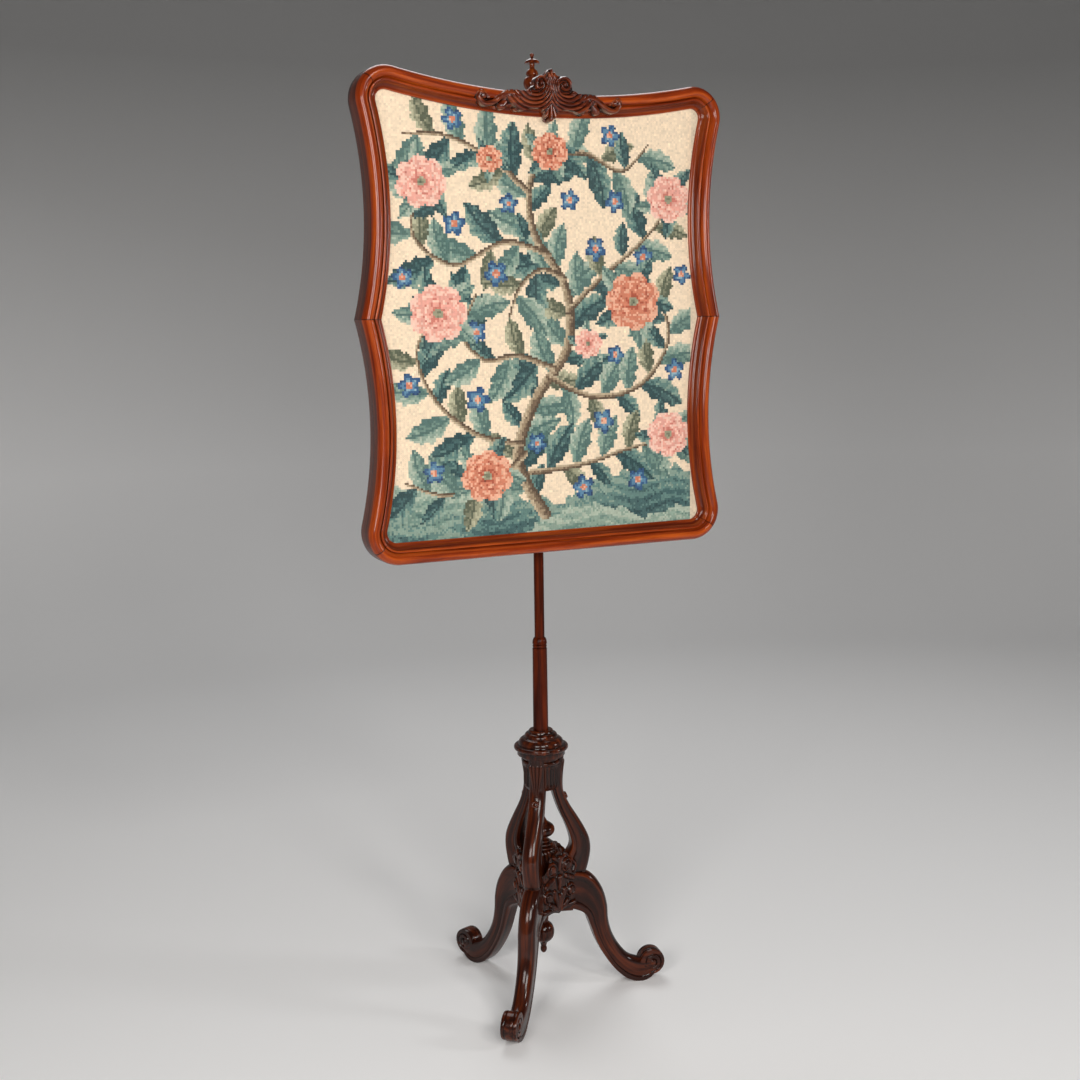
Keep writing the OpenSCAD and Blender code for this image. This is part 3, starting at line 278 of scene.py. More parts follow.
frameTones = {"deep": linear(82, 23, 5), "middle": linear(143, 51, 11), "light": linear(192, 86, 25)}
baseTones = {"deep": linear(21, 6, 3), "middle": linear(51, 17, 6), "light": linear(102, 42, 13)}
crestTones = {"deep": linear(42, 12, 5), "middle": linear(95, 34, 14), "light": linear(154, 72, 32)}
poleTones = {"deep": linear(28, 6, 2), "middle": linear(62, 17, 5), "light": linear(100, 36, 11)}
backTones = {"deep": linear(66, 40, 25), "middle": linear(96, 61, 38), "light": linear(120, 80, 52)}
finialTones = {"deep": linear(46, 14, 4), "middle": linear(96, 34, 10), "light": linear(150, 70, 22)}
paleTones = {"deep": linear(150, 117, 80), "middle": linear(181, 147, 106), "light": linear(203, 172, 130)}
frameWood = polishedWood("frameWood", **frameTones, coat=0.55, blur=0.14)
baseWood = polishedWood("baseWood", **baseTones, coat=0.5, blur=0.12)
crestWood = polishedWood("crestWood", **crestTones, rough=0.28, coat=1.0, blur=0.12)
poleWood = polishedWood("poleWood", **poleTones, upright=True, coat=0.1)
finialWood = polishedWood("finialWood", **finialTones, upright=True, rough=0.28, coat=0.7, blur=0.1)
turnedWood = polishedWood("turnedWood", **baseTones, upright=True, coat=0.5, blur=0.12)
backWood = polishedWood("backWood", **backTones, upright=True, rough=0.52, coat=0.05, bare=True)
paleWood = polishedWood("paleWood", **paleTones, upright=True, rough=0.62, coat=0.0, bare=True)


brassLook = {
    "clouds": 90.0, "stops": (0.32, 0.52, 0.72), "rough": 0.16, "cloudsRough": 0.3,
    "tones": (linear(92, 66, 30), linear(164, 124, 58), linear(196, 156, 84)),
    "grit": 900.0, "bump": 0.12, "bumpDeep": 0.0003,
}


def agedBrass():
    sheet, b = Sheet("agedBrass"), brassLook
    place = sheet.add("ShaderNodeTexCoord").outputs["Object"]
    clouds = sheet.noise(place, b["clouds"], 4.0, 0.6)
    sheet.join(sheet.ramp(clouds, b["stops"], b["tones"]), sheet.skin.inputs["Base Color"])
    gloss = sheet.maths("ADD", sheet.maths("MULTIPLY", clouds, b["cloudsRough"]), b["rough"])
    sheet.join(gloss, sheet.skin.inputs["Roughness"])
    sheet.bumps(sheet.noise(place, b["grit"], 2.0, 0.5), b["bump"], b["bumpDeep"])
    sheet.dress({"Metallic": 1.0})
    return sheet.material


woolLook = {
    "fibres": 1500.0, "fibresShare": 0.16, "fibresDark": (0.10, 0.08, 0.06),
    "clouds": 14.0, "cloudsShare": 0.05, "cloudsTone": (0.62, 0.52, 0.38), "bump": 0.35, "bumpDeep": 0.0004,
}


def workedWool():
    sheet, w = Sheet("workedWool"), woolLook
    dyed = sheet.add("ShaderNodeAttribute", attribute_name="wool").outputs["Color"]
    place = sheet.add("ShaderNodeTexCoord").outputs["Object"]
    fibres = sheet.noise(place, w["fibres"], 2.0, 0.6)
    clouds = sheet.noise(place, w["clouds"], 2.0, 0.5)
    colour = sheet.mix(sheet.maths("MULTIPLY", fibres, w["fibresShare"]), dyed, w["fibresDark"], "MULTIPLY")
    colour = sheet.mix(sheet.maths("MULTIPLY", clouds, w["cloudsShare"]), colour, w["cloudsTone"])
    sheet.join(colour, sheet.skin.inputs["Base Color"])
    sheet.bumps(fibres, w["bump"], w["bumpDeep"])
    sheet.dress({"Roughness": 0.88, "Specular IOR Level": 0.2, "Sheen Weight": 0.25, "Sheen Roughness": 0.5})
    return sheet.material


brassFinish = agedBrass()
woolFinish = workedWool()
print("finishes are made")


# Ways to make a piece
def between(share, start, end):
    return start + share * (end - start)


def smoothCurve(points, steps):  # through every point, with so many steps between two of them
    p = np.array(points, float)
    before = np.vstack([p[:1], p[:-2]])
    after = np.vstack([p[2:], p[-1:]])
    t = (np.arange(steps) / steps)[None, :, None]
    a, b, c, d = (q[:, None, :] for q in (before, p[:-1], p[1:], after))
    square = 2 * a - 5 * b + 4 * c - d
    cube = 3 * b - a - 3 * c + d
    curve = 0.5 * (2 * b + (c - a) * t + square * t ** 2 + cube * t ** 3)
    return np.vstack([curve.reshape(-1, p.shape[1]), p[-1:]])


def ovalArc(cx, cy, rx, ry, start, end, steps):
    a = np.radians(np.linspace(start, end, steps + 1))
    return np.stack([cx + rx * np.cos(a), cy + ry * np.sin(a)], 1)


def alongLine(points):
    return np.concatenate([[0.0], np.cumsum(np.linalg.norm(np.diff(points, axis=0), axis=1))])


def skinRings(rings):  # rings of points, in mm, to corners and faces, with both ends closed
    rings = np.asarray(rings, float)
    m, n = rings.shape[:2]
    i, j = np.meshgrid(np.arange(m - 1), np.arange(n), indexing="ij")
    a, b = i * n + j, i * n + (j + 1) % n
    faces = np.stack([a, b, b + n, a + n], -1).reshape(-1, 4).tolist()
    faces.append(list(range(n))[::-1])
    faces.append([(m - 1) * n + k for k in range(n)])
    return rings.reshape(-1, 3), faces


def ringGrain(rings):  # length along the rings, and place round each
    rings = np.asarray(rings, float)
    length = alongLine(rings.mean(1))
    first = rings[len(rings) // 2]
    across = alongLine(first)
    grain = np.zeros(rings.shape)
    grain[:, :, 0] = length[:, None]
    grain[:, :, 1] = across[None, :]
    return grain.reshape(-1, 3)


def pointValues(mesh, name, kind, field, values):
    held = mesh.attributes.new(name, kind, "POINT").data
    held.foreach_set(field, np.asarray(values, np.float32).ravel())


def placePiece(name, mesh, body, finish, stands):
    mesh.materials.append(finish)
    piece = bpy.data.objects.new(name, mesh)
    bpy.context.scene.collection.objects.link(piece)
    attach(piece, body)
    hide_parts(*stands)
    return piece


def addPiece(name, verts, faces, body, finish, stands, grain, hollow, sharp=38):
    mesh = bpy.data.meshes.new(name)
    mesh.from_pydata((np.asarray(verts, float) * mm).tolist(), [], faces)
    if grain is not None:
        pointValues(mesh, "grain", "FLOAT_VECTOR", "vector", np.asarray(grain, float) * mm)
    # hollow holds painted shade, and the frame's dark joint lines
    pointValues(mesh, "hollow", "FLOAT", "value", hollow)
    work = bmesh.new()
    work.from_mesh(mesh)
    bmesh.ops.remove_doubles(work, verts=work.verts, dist=1e-7)
    bmesh.ops.recalc_face_normals(work, faces=work.faces)
    work.to_mesh(mesh)
    work.free()
    mesh.polygons.foreach_set("use_smooth", [True] * len(mesh.polygons))
    mesh.set_sharp_from_angle(angle=math.radians(sharp))
    placePiece(name, mesh, body, finish, stands)


def turnAbout(points, degrees):  # about the pole
    c, s = math.cos(math.radians(degrees)), math.sin(math.radians(degrees))
    p = np.asarray(points, float)
    return np.stack([p[..., 0] * c - p[..., 1] * s, p[..., 0] * s + p[..., 1] * c, p[..., 2]], -1)


def gather(parts):  # several sets of corners, faces, grain and shade, as one
    allFaces, first = [], 0
    for verts, faces, _, _ in parts:
        allFaces += [[k + first for k in face] for face in faces]
        first += len(verts)
    verts, _, grains, shades = zip(*parts)
    return np.vstack(verts), allFaces, np.vstack(grains), np.concatenate(shades)


# Moulded frame of the panel
panel = {
    "middle": 1105.0, "gap": 20.0, "waist": 281.0, "sideR": 610.0, "bay": 153.0,
    "topRise": 327.0, "topR": 1200.0, "topCornerR": 46.0, "drop": 358.5, "lowCornerR": 48.0,
}
moulding = {
    "face": 32.0, "depth": 44.0, "rollW": 18.0, "rollH": 13.0, "rollFoot": 8.0, "beadR": 2.1, "beadD": 36.0,
    "beadRoom": 2.2, "hollowDrop": 1.0, "fillet": 2.0, "sight": 26.0, "slipEase": 0.5, "slipTop": 0.1,
    "slipSide": 0.4, "lip": 3.5, "rebate": 8.0, "rebateEase": 0.8, "backEase": 1.2,
}


def farCorner(c1, r1, c2, r2):
    d = np.linalg.norm(c2 - c1)
    a = (r1 * r1 - r2 * r2 + d * d) / (2 * d)
    e = (c2 - c1) / d
    return c1 + a * e + math.sqrt(r1 * r1 - a * a) * np.array([-e[1], e[0]])


def panelPlan():  # centres and turns of the outline's arcs, T at the top and B at the bottom
    p = panel
    topC = np.array([0.0, p["topRise"] + p["topR"]])
    sideC = np.array([p["waist"] + p["sideR"], p["bay"]])
    cornerT = farCorner(sideC, p["sideR"] + p["topCornerR"], topC, p["topR"] + p["topCornerR"])
    lowY = p["lowCornerR"] - p["drop"]
    reach = p["sideR"] + p["lowCornerR"]
    cornerB = np.array([sideC[0] - math.sqrt(reach ** 2 - (lowY + p["bay"]) ** 2), lowY])
    topHalf = math.degrees(math.atan2(cornerT[0], topC[1] - cornerT[1]))
    turnT = math.degrees(math.atan2(cornerT[1] - p["bay"], sideC[0] - cornerT[0]))
    turnB = math.degrees(math.atan2(-p["bay"] - lowY, sideC[0] - cornerB[0]))
    return {
        "topC": topC, "sideC": sideC, "cornerT": cornerT, "cornerB": cornerB,
        "topHalf": topHalf, "turnT": turnT, "turnB": turnB,
        "mitreT": (90 + topHalf - turnT) / 2, "mitreB": (turnB - 90) / 2,
    }


plan = panelPlan()


def standUp(points):  # from the panel's own plane to the room
    p = np.asarray(points, float)
    return np.stack([p[..., 0], -panel["gap"] - p[..., 2], panel["middle"] + p[..., 1]], -1)


def mouldingSection():  # distance in from the outer edge, and depth out from the back
    m = moulding
    inner, ease, roll = m["face"] - m["rebate"], m["backEase"], m["rollW"] / 2
    rollFrom = m["depth"] - m["rollH"]
    hollowW = m["face"] - m["fillet"] - m["rollW"] - m["beadRoom"] * m["beadR"]
    hollowMid = m["beadD"] - m["hollowDrop"]
    hollowD = hollowMid - m["sight"] - m["slipEase"]
    slip = [[m["face"] - m["slipEase"], m["sight"] + m["slipTop"]], [m["face"], m["sight"] - m["slipSide"]]]
    return np.vstack([
        [[inner, m["sight"] - m["lip"]], [inner, m["rebateEase"]], [inner - m["rebateEase"], 0], [ease, 0]],
        ovalArc(ease, ease, ease, ease, 270, 180, 4)[1:],
        [[0, rollFrom - m["rollFoot"]]],
        ovalArc(roll, rollFrom, roll, m["rollH"], 180, 25, 26),
        ovalArc(m["rollW"] + m["beadR"], m["beadD"], m["beadR"], m["beadR"], 200, -15, 10),
        ovalArc(m["face"] - m["fillet"], hollowMid, -hollowW, -hollowD, 0, 90, 10),
        slip,
        [[m["face"], m["sight"] - m["lip"]]],
    ])


section = mouldingSection()
frameSteps = {"top": 26, "corner": 14, "side": 40, "low": (0.0, 90.0, 180.0)}


def cornerRings(centre, r, start, end):
    out = r - section[:, 0]
    turns = np.radians(np.linspace(start, end, frameSteps["corner"] + 1))
    rings = []
    for a in turns:
        x, y = centre[0] + out * math.cos(a), centre[1] + out * math.sin(a)
        rings.append(np.stack([x, y, section[:, 1]], 1))
    return rings


def bayRing(turn, t):
    r = panel["sideR"] + section[:, 0]
    a = np.radians(180 - turn + t * (turn + np.degrees(np.arcsin(panel["bay"] / r))))
    return np.stack([plan["sideC"][0] + r * np.cos(a), panel["bay"] + r * np.sin(a), section[:, 1]], 1)


def topRing(a):
    r, a = panel["topR"] + section[:, 0], math.radians(a)
    return np.stack([r * math.cos(a), plan["topC"][1] + r * math.sin(a), section[:, 1]], 1)


def bothSides(half):
    half = np.array(half)
    other = half[:0:-1] * np.array([-1, 1, 1])
    return np.concatenate([other, half])


def lowRing(x):
    return np.stack([np.full(len(section), x), section[:, 0] - panel["drop"], section[:, 1]], 1)


def stile(centre, r, mitre, turn):  # from a corner's mitre to the pointed middle of a side
    bay = [bayRing(turn, t) for t in np.linspace(0, 1, frameSteps["side"] + 1)]
    return np.array(cornerRings(centre, r, mitre, -turn)[:-1] + bay)


def frameMembers():
    steps = frameSteps["top"]
    top = [topRing(270 + plan["topHalf"] * i / steps) for i in range(steps + 1)]
    top += cornerRings(plan["cornerT"], panel["topCornerR"], 90 + plan["topHalf"], plan["mitreT"])[1:]
    low = [lowRing(x) for x in frameSteps["low"]]
    low += cornerRings(plan["cornerB"], panel["lowCornerR"], -90, plan["mitreB"])
    upper = stile(plan["cornerT"], panel["topCornerR"], plan["mitreT"], plan["turnT"])
    flipped = np.array([plan["cornerB"][0], -plan["cornerB"][1]])
    lower = stile(flipped, panel["lowCornerR"], -plan["mitreB"], plan["turnB"]) * np.array([1, -1, 1])
    mirror = np.array([-1, 1, 1])
    return {
        "top_rail": bothSides(top), "bottom_rail": bothSides(low),
        "right_upper_stile": upper, "left_upper_stile": upper * mirror,
        "right_lower_stile": lower, "left_lower_stile": lower * mirror,
    }


mostShade = 0.85  # share of painted shade in a hollow, at most
shadeLines = [  # painted shade along the moulding: middle in from the outer edge, spread, share of shade, least depth: groove, hollow, slip
    (moulding["rollW"] + 0.1, 0.9, 0.5, 30.0), (moulding["face"] - 6.4, 3.6, 0.6, 24.0),
    (moulding["face"] - 1.6, 1.0, 0.2, 24.0),
]
frameJoint = {"line": 0.5, "fade": 1.0, "dark": 0.85}
# painted shade on the frame's outer side
outerSideShade = {"within": 0.05, "dark": 0.72}
plankShift = np.array([311.0, 47.0, 0])  # how far apart in the plank two members are cut


def mouldingShade():  # painted shade in the moulding's hollows and on its outer side
    u, d = section[:, 0], section[:, 1]
    shade = outerSideShade["dark"] * (u < outerSideShade["within"])
    for middle, spread, share, least in shadeLines:
        shade = shade + share * np.exp(-((u - middle) / spread) ** 2) * (d > least)
    return np.clip(shade, 0, mostShade)


def jointEnds(rings):  # two rings close to each end, so that a joint's dark line stays fine
    ends = []
    for end, inner in ((rings[0], rings[1]), (rings[-1], rings[-2])):
        step = (inner - end) / np.linalg.norm(inner - end, axis=1).mean()
        ends.append([end, end + frameJoint["line"] * step, end + frameJoint["fade"] * step])
    return np.concatenate([ends[0], rings[1:-1], ends[1][::-1]])


def makeFrame():
    shade = mouldingShade()
    for k, (node, rings) in enumerate(frameMembers().items()):
        rings = jointEnds(rings)
        verts, faces = skinRings(rings)
        grain = ringGrain(rings) + k * plankShift
        name = "moulded" + "".join(w.capitalize() for w in node.split("_"))
        hollow = np.tile(shade, (len(rings), 1))
        hollow[[0, 1, -2, -1]] = np.maximum(shade, frameJoint["dark"])
        addPiece(name, standUp(verts), faces, "screen", frameWood, [node], grain, hollow)


makeFrame()
print("moulded frame is made")


# Turned pieces of the stand
stand = {"knee": 206.0, "collar": 408.0, "ferrule": 583.0, "finial": 1443.0, "turns": (-131.4, -11.4, 108.6)}
cutShade = 0.36  # share of painted shade for each mm that a flute or reed is cut


def bead(r, low, high, out):
    return ovalArc(r, (low + high) / 2, out, (high - low) / 2, -90, 90, 12)


def crevice(profile, reach=3.0, depth=1.3):  # how far each point of a line lies behind its neighbourhood, as painted shade
    p = np.asarray(profile, float)
    away = np.abs(alongLine(p)[:, None] - alongLine(p)[None, :])
    near = np.where(away < reach, 1.0, 0.0)
    mean = (near[:, :, None] * p[None]).sum(1) / near.sum(1)[:, None]
    side = np.gradient(p, axis=0)
    out = np.stack([side[:, 1], -side[:, 0]], 1) / np.maximum(np.linalg.norm(side, axis=1), 1e-6)[:, None]
    return np.clip(((mean - p) * out).sum(1) / depth, 0, mostShade)


def turned(name, node, profile, finish=turnedWood, wave=None, sectors=112, dusk=0.0):
    p = np.asarray(profile, float)
    a = np.linspace(0, 2 * math.pi, sectors, endpoint=False)
    r = np.repeat(p[:, :1], sectors, 1)
    z = np.repeat(p[:, 1:], sectors, 1)
    # painted shade in the profile's crevices, and under the collar
    shade = np.repeat(crevice(p)[:, None], sectors, 1) + dusk
    if wave:
        cut = wave(r, z, a[None, :])
        r = r - cut
        shade = shade + cut * cutShade
    shade = np.clip(shade, 0, mostShade)
    rings = np.stack([r * np.cos(a), r * np.sin(a), z], -1)
    verts, faces = skinRings(rings)
    addPiece(name, verts, faces, "stand", finish, [node], None, shade)


collar = {"r": 44.0, "h": 41.0, "bore": 8.6}
# dusk: painted shade on the neck and on the struts' tops, under the collar
neck = {
    "r": 30.0, "h": 56.0, "dusk": 0.4,
    "flutes": 30, "fluteDeep": 1.5, "fluteEase": 3.0, "fluteLow": 0.88, "fluteHigh": 0.3,
}
hub = {
    "r": 31.0, "low": 140.0, "foot": 24.0, "mound": 44.0, "topR": 22.0, "reeds": 21, "reedDeep": 2.4,
    "reedFrom": 3.0, "reedEase": 6.0, "reedInner": 12.0, "swirl": 0.012,
}
drop = {"r": 18.0, "h": 73.0}
cageFinial = {"r": 20.5, "h": 53.0}
poleFinial = {"r": 13.5, "h": 57.0}
ferrule = {"r": 11.6, "h": 18.0, "bore": 8.0}


def collarProfile():
    r, h, z = collar["r"], collar["h"], stand["collar"]
    return np.vstack([
        [(collar["bore"], z), (0.87 * r, z), (0.88 * r, z + 0.6), (0.88 * r, z + 0.2 * h)],
        bead(0.94 * r, z + 0.22 * h, z + 0.4 * h, 0.06 * r),
        [(0.84 * r, z + 0.42 * h)],
        ovalArc(0.62 * r, z + 0.45 * h, 0.21 * r, 0.24 * h, 0, 80, 14),
        [(0.62 * r, z + 0.7 * h)],
        ovalArc(0.5 * r, z + 0.71 * h, 0.11 * r, 0.17 * h, 0, 85, 12),
        [(0.46 * r, z + 0.89 * h), (0.44 * r, z + 0.98 * h), (0.42 * r, z + h), (collar["bore"], z + h)],
    ])


def neckProfile():
    r, h, top = neck["r"], neck["h"], stand["collar"]
    low = top - h
    drum = [(0.97 * r, low + s * h) for s in np.linspace(0.1, 0.74, 14)]
    return np.vstack([
        [(1, low), (0.83 * r, low)], drum,
        bead(0.97 * r, top - 0.25 * h, top - 0.14 * h, 0.08 * r),
        [(r, top - 0.1 * h), (1.06 * r, top), (1, top)],
    ])


def neckFlutes(r, z, a):
    low, high = (stand["collar"] - neck[k] * neck["h"] for k in ("fluteLow", "fluteHigh"))
    fade = np.clip(np.minimum(z - low, high - z) / neck["fluteEase"], 0, 1)
    return neck["fluteDeep"] * fade * np.abs(np.cos(neck["flutes"] / 2 * a)) ** 1.5


def hubProfile():
    r, low, knee, top = hub["r"], hub["low"], stand["knee"], hub["topR"]
    mound = ovalArc(top, knee + 2, r - top - 1, hub["mound"] - 2, 0, 90, 26)
    return np.vstack([
        [(1, low)], bead(hub["foot"] - 4, low, low + 9, 4),
        [(r, low + 14), (r, knee), (r, knee + 1.9)], mound, [(1, knee + hub["mound"])],
    ])


def hubReeds(r, z, a):  # the mound's reeds lean a little as they rise
    up = z - stand["knee"]
    height = np.clip((up - hub["reedFrom"]) / hub["reedEase"], 0, 1) * (r > hub["reedInner"])
    swirl = a + hub["swirl"] * up
    return hub["reedDeep"] * height * (1 - np.abs(np.sin(hub["reeds"] / 2 * swirl)) ** 0.7)


def dropProfile():
    r, h, top = drop["r"], drop["h"], hub["low"]
    return np.vstack([
        ovalArc(0, top - 0.9 * h, 0.3 * r, 0.1 * h, -88, 35, 12),
        [(0.24 * r, top - 0.83 * h), (0.34 * r, top - 0.76 * h)],
        ovalArc(0.4 * r, top - 0.49 * h, 0.6 * r, 0.22 * h, -70, 75, 22),
        [(0.45 * r, top - 0.24 * h), (0.5 * r, top - 0.12 * h)],
        [(0.8 * r, top - 0.06 * h), (0.8 * r, top), (1, top)],
    ])


def cageFinialProfile():
    r, h, z = cageFinial["r"], cageFinial["h"], stand["knee"] + hub["mound"]
    return np.vstack([
        [(1, z)],
        bead(0.98 * r, z, z + 0.08 * h, 0.1 * r),
        bead(0.76 * r, z + 0.08 * h, z + 0.17 * h, 0.1 * r),
        bead(0.52 * r, z + 0.17 * h, z + 0.25 * h, 0.09 * r),
        [(0.36 * r, z + 0.28 * h), (0.33 * r, z + 0.34 * h)],
        ovalArc(0.4 * r, z + 0.57 * h, 0.6 * r, 0.21 * h, -80, 50, 22),
        [(0.4 * r, z + 0.84 * h), (0.2 * r, z + 0.98 * h), (0.1 * r, z + h)],
    ])


def poleFinialProfile():
    r, h, z = poleFinial["r"], poleFinial["h"], stand["finial"]
    return np.vstack([
        [(1, z), (0.58 * r, z)],
        ovalArc(0.35 * r, z + 0.22 * h, 0.65 * r, 0.19 * h, -65, 70, 22),
        [(0.6 * r, z + 0.42 * h), (0.7 * r, z + 0.44 * h)],
        ovalArc(0, z + 0.44 * h, 0.7 * r, 0.17 * h, 0, 62, 12),
        [(0.27 * r, z + 0.63 * h), (0.3 * r, z + 0.71 * h)],
        [(0.8 * r, z + 0.72 * h), (0.87 * r, z + 0.74 * h)],
        ovalArc(0, z + 0.74 * h, 0.84 * r, 0.11 * h, 8, 72, 12),
        [(0.16 * r, z + 0.87 * h)],
        ovalArc(0, z + 0.94 * h, 0.23 * r, 0.06 * h, -50, 86, 12),
    ])


def ferruleProfile():
    r, h, z = ferrule["r"], ferrule["h"], stand["ferrule"]
    return np.vstack([
        [(ferrule["bore"], z), (r - 0.6, z)],
        bead(r - 1.6, z + 0.08 * h, z + 0.34 * h, 1.4),
        ovalArc(r - 4, z + 0.42 * h, 4, 0.58 * h, 0, 78, 14),
        [(ferrule["bore"], z + h)],
    ])


turned("turnedCollar", "pole_collar", collarProfile())
turned("flutedNeck", "cage_neck", neckProfile(), wave=neckFlutes, sectors=300, dusk=neck["dusk"])
turned("reededHub", "base_hub", hubProfile(), wave=hubReeds, sectors=336)
turned("turnedDrop", "pendant_drop", dropProfile())
turned("turnedCageFinial", "cage_finial", cageFinialProfile())
turned("turnedPoleFinial", "pole_finial", poleFinialProfile(), finialWood)
turned("turnedFerrule", "pole_ferrule", ferruleProfile(), poleWood)
print("turned pieces are made")


# Legs and struts, swept along their middle lines
leg = {
    "from": 26.0, "reach": 186.0, "kneeD": 68.0, "ankleD": 30.5, "footD": 39.0, "kneeW": 28.0, "toeW": 25.0,
    "flat": 1.0, "toeR": 22.0, "toeZ": 31.0, "ways": ((1, 0), (1, 0.28)),
}
legShape = [  # share of the way out, share of the way up, weight of knee and of foot
    (0, 1, 1, 0), (0.19, 0.99, 1.03, 0), (0.31, 0.9, 0.71, 0), (0.39, 0.77, 0.32, 0), (0.43, 0.6, 0.07, 0),
    (0.48, 0.43, 0, 0), (0.56, 0.27, 0, 0), (0.67, 0.12, 0, 0.25), (0.79, 0.03, 0, 0.92), (0.9, 0, 0, 1),
    (1, 0.03, 0, -0.25),
]
strut = {
    "neckR": 24.0, "bulge": 63.5, "d": 20.0, "footD": 42.0, "w": 25.0, "footW": 27.5, "high": 202.0,
    "ways": ((0, -1), (0, -1)),
}
strutShape = [  # share of the way out, share of the way up, weight of the foot
    (0.06, 1, 0.14), (0, 0.84, 0), (0.02, 0.72, -0.05), (0.15, 0.625, -0.05), (0.35, 0.53, 0.05),
    (0.62, 0.43, 0.18), (0.86, 0.33, 0.36), (1, 0.243, 0.55), (0.99, 0.168, 0.73), (0.86, 0.09, 0.95),
    (0.72, 0, 0.95),
]
limbCut = {  # crown and line are shares of the limb's depth
    "crown": 0.34, "ease": 3.0, "easeSteps": 5, "line": 0.24, "lineHalf": 1.5, "lineDeep": 1.1, "steps": 7,
    "widens": 0.6, "lineDark": 0.8, "edgeDark": 0.2, "kneeShadow": 0.9, "kneeShadowSpread": 2.2, "topFade": 20.0,
}
plankTurn = np.array([900.0, 130.0, 0])  # shift of the grain for each degree of turn


def limbSection(w, d):  # flat flanks with an incised line, a crowned face and eased inner edges
    ease, half = limbCut["ease"], limbCut["lineHalf"]
    crown, line = limbCut["crown"] * min(w, d), limbCut["line"] * d - d / 2
    right = np.vstack([
        [(0, -d / 2)], ovalArc(w / 2 - ease, ease - d / 2, ease, ease, -90, 0, limbCut["easeSteps"]),
        [(w / 2, line - half), (w / 2 - limbCut["lineDeep"], line), (w / 2, line + half)],
    ])
    face = ovalArc(0, d / 2 - crown, w / 2, crown, 0, 180, 30)
    left = right[:0:-1] * np.array([-1, 1])
    return np.vstack([right, face, left])


def limbShade(count):  # painted shade in the incised lines
    line = limbCut["easeSteps"] + 3  # place of a line's bottom among the section's points
    shade = np.zeros(count)
    shade[[line, count - line]] = limbCut["lineDark"]
    shade[[line - 1, line + 1, count - line - 1, count - line + 1]] = limbCut["edgeDark"]
    return shade


def limbRings(path, firstWay, lastWay):
    ways = np.gradient(path[:, :2], axis=0)
    ways[0], ways[-1] = firstWay, lastWay
    ways /= np.linalg.norm(ways, axis=1)[:, None]
    rings = []
    for (out, up, d, w), way in zip(path, ways):
        s = limbSection(w, d)
        rings.append(np.stack([out - s[:, 1] * way[1], s[:, 0], up + s[:, 1] * way[0]], 1))
    return np.array(rings)


def limb(path, firstWay, lastWay):
    rings = limbRings(path, firstWay, lastWay)
    verts, faces = skinRings(rings)
    lines = np.tile(limbShade(rings.shape[1]), len(rings))
    # painted shadow where the strut's foot overhangs the leg's knee, and painted shade on the strut's top
    # under the collar
    joint = limbCut["kneeShadow"] * np.exp(-((verts[:, 2] - stand["knee"]) / limbCut["kneeShadowSpread"]) ** 2)
    underNeck = verts[:, 2] - stand["collar"] + neck["h"]
    top = neck["dusk"] * np.clip(underNeck / limbCut["topFade"], 0, 1)
    return verts, faces, ringGrain(rings), np.maximum(np.maximum(lines, joint), top)


def legPath():  # how far out and up the middle line runs, with the leg's depth and width
    kneeMid = stand["knee"] - leg["kneeD"] / 2 + 2 * leg["flat"]
    footMid = leg["footD"] / 2 - leg["flat"]
    rows = []
    for s, t, knee, foot in legShape:
        depth = leg["ankleD"] + knee * (leg["kneeD"] - leg["ankleD"]) + foot * (leg["footD"] - leg["ankleD"])
        width = between(min(1, t / limbCut["widens"]), leg["toeW"], leg["kneeW"])
        rows.append((between(s, leg["from"], leg["reach"]), between(t, footMid, kneeMid), depth, width))
    return smoothCurve(rows, limbCut["steps"])


def strutPath():
    rows = []
    for s, t, foot in strutShape:
        out = between(s, strut["neckR"], strut["bulge"])
        depth = between(foot, strut["d"], strut["footD"])
        width = between(min(1, t / limbCut["widens"]), strut["footW"], strut["w"])
        rows.append((out, stand["knee"] + t * strut["high"], depth, width))
    return smoothCurve(rows, limbCut["steps"])


toe = {
    "sectors": 120, "rings": 34, "pip": 0.6, "edge": 1.6, "swell": 1.4, "sunk": 0.4, "eyeR": 4.6,
    "eyeUp": 1.7, "turns": 1.7, "begin": 205.0, "windFrom": 0.84, "windTo": 5.0, "grooveW": 1.15,
    "grooveDeep": 2.0, "grooveDark": 0.75, "rimRows": 23, "rimEase": 1.2, "lineAt": 0.55, "lineW": 0.06,
    "lineDeep": 0.9, "lineDark": 0.7, "lineDarkW": 0.08,
}


def toeCheek(a):  # rings of a cheek that winds in to a domed eye, with its groove
    r, sweep = leg["toeR"], 2 * math.pi * toe["turns"]
    face = np.linspace(toe["pip"], r - toe["edge"], toe["rings"])[:, None]
    near = np.full((len(face), len(a)), r)
    for lap in range(math.ceil(toe["turns"])):
        wound = (a - math.radians(toe["begin"])) % (2 * math.pi) + 2 * math.pi * lap
        at = between(wound / sweep, toe["windFrom"] * r, toe["windTo"])
        near = np.where(wound <= sweep, np.minimum(near, np.abs(face - at)), near)
    groove = np.exp(-(near / toe["grooveW"]) ** 2)
    eye = toe["eyeUp"] * np.sqrt(np.clip(1 - (face / toe["eyeR"]) ** 2, 0, 1))
    cheek = leg["toeW"] / 2 + toe["swell"] * (1 - face / r) - toe["sunk"] - toe["grooveDeep"] * groove + eye
    return np.repeat(face, len(a), 1), cheek, groove


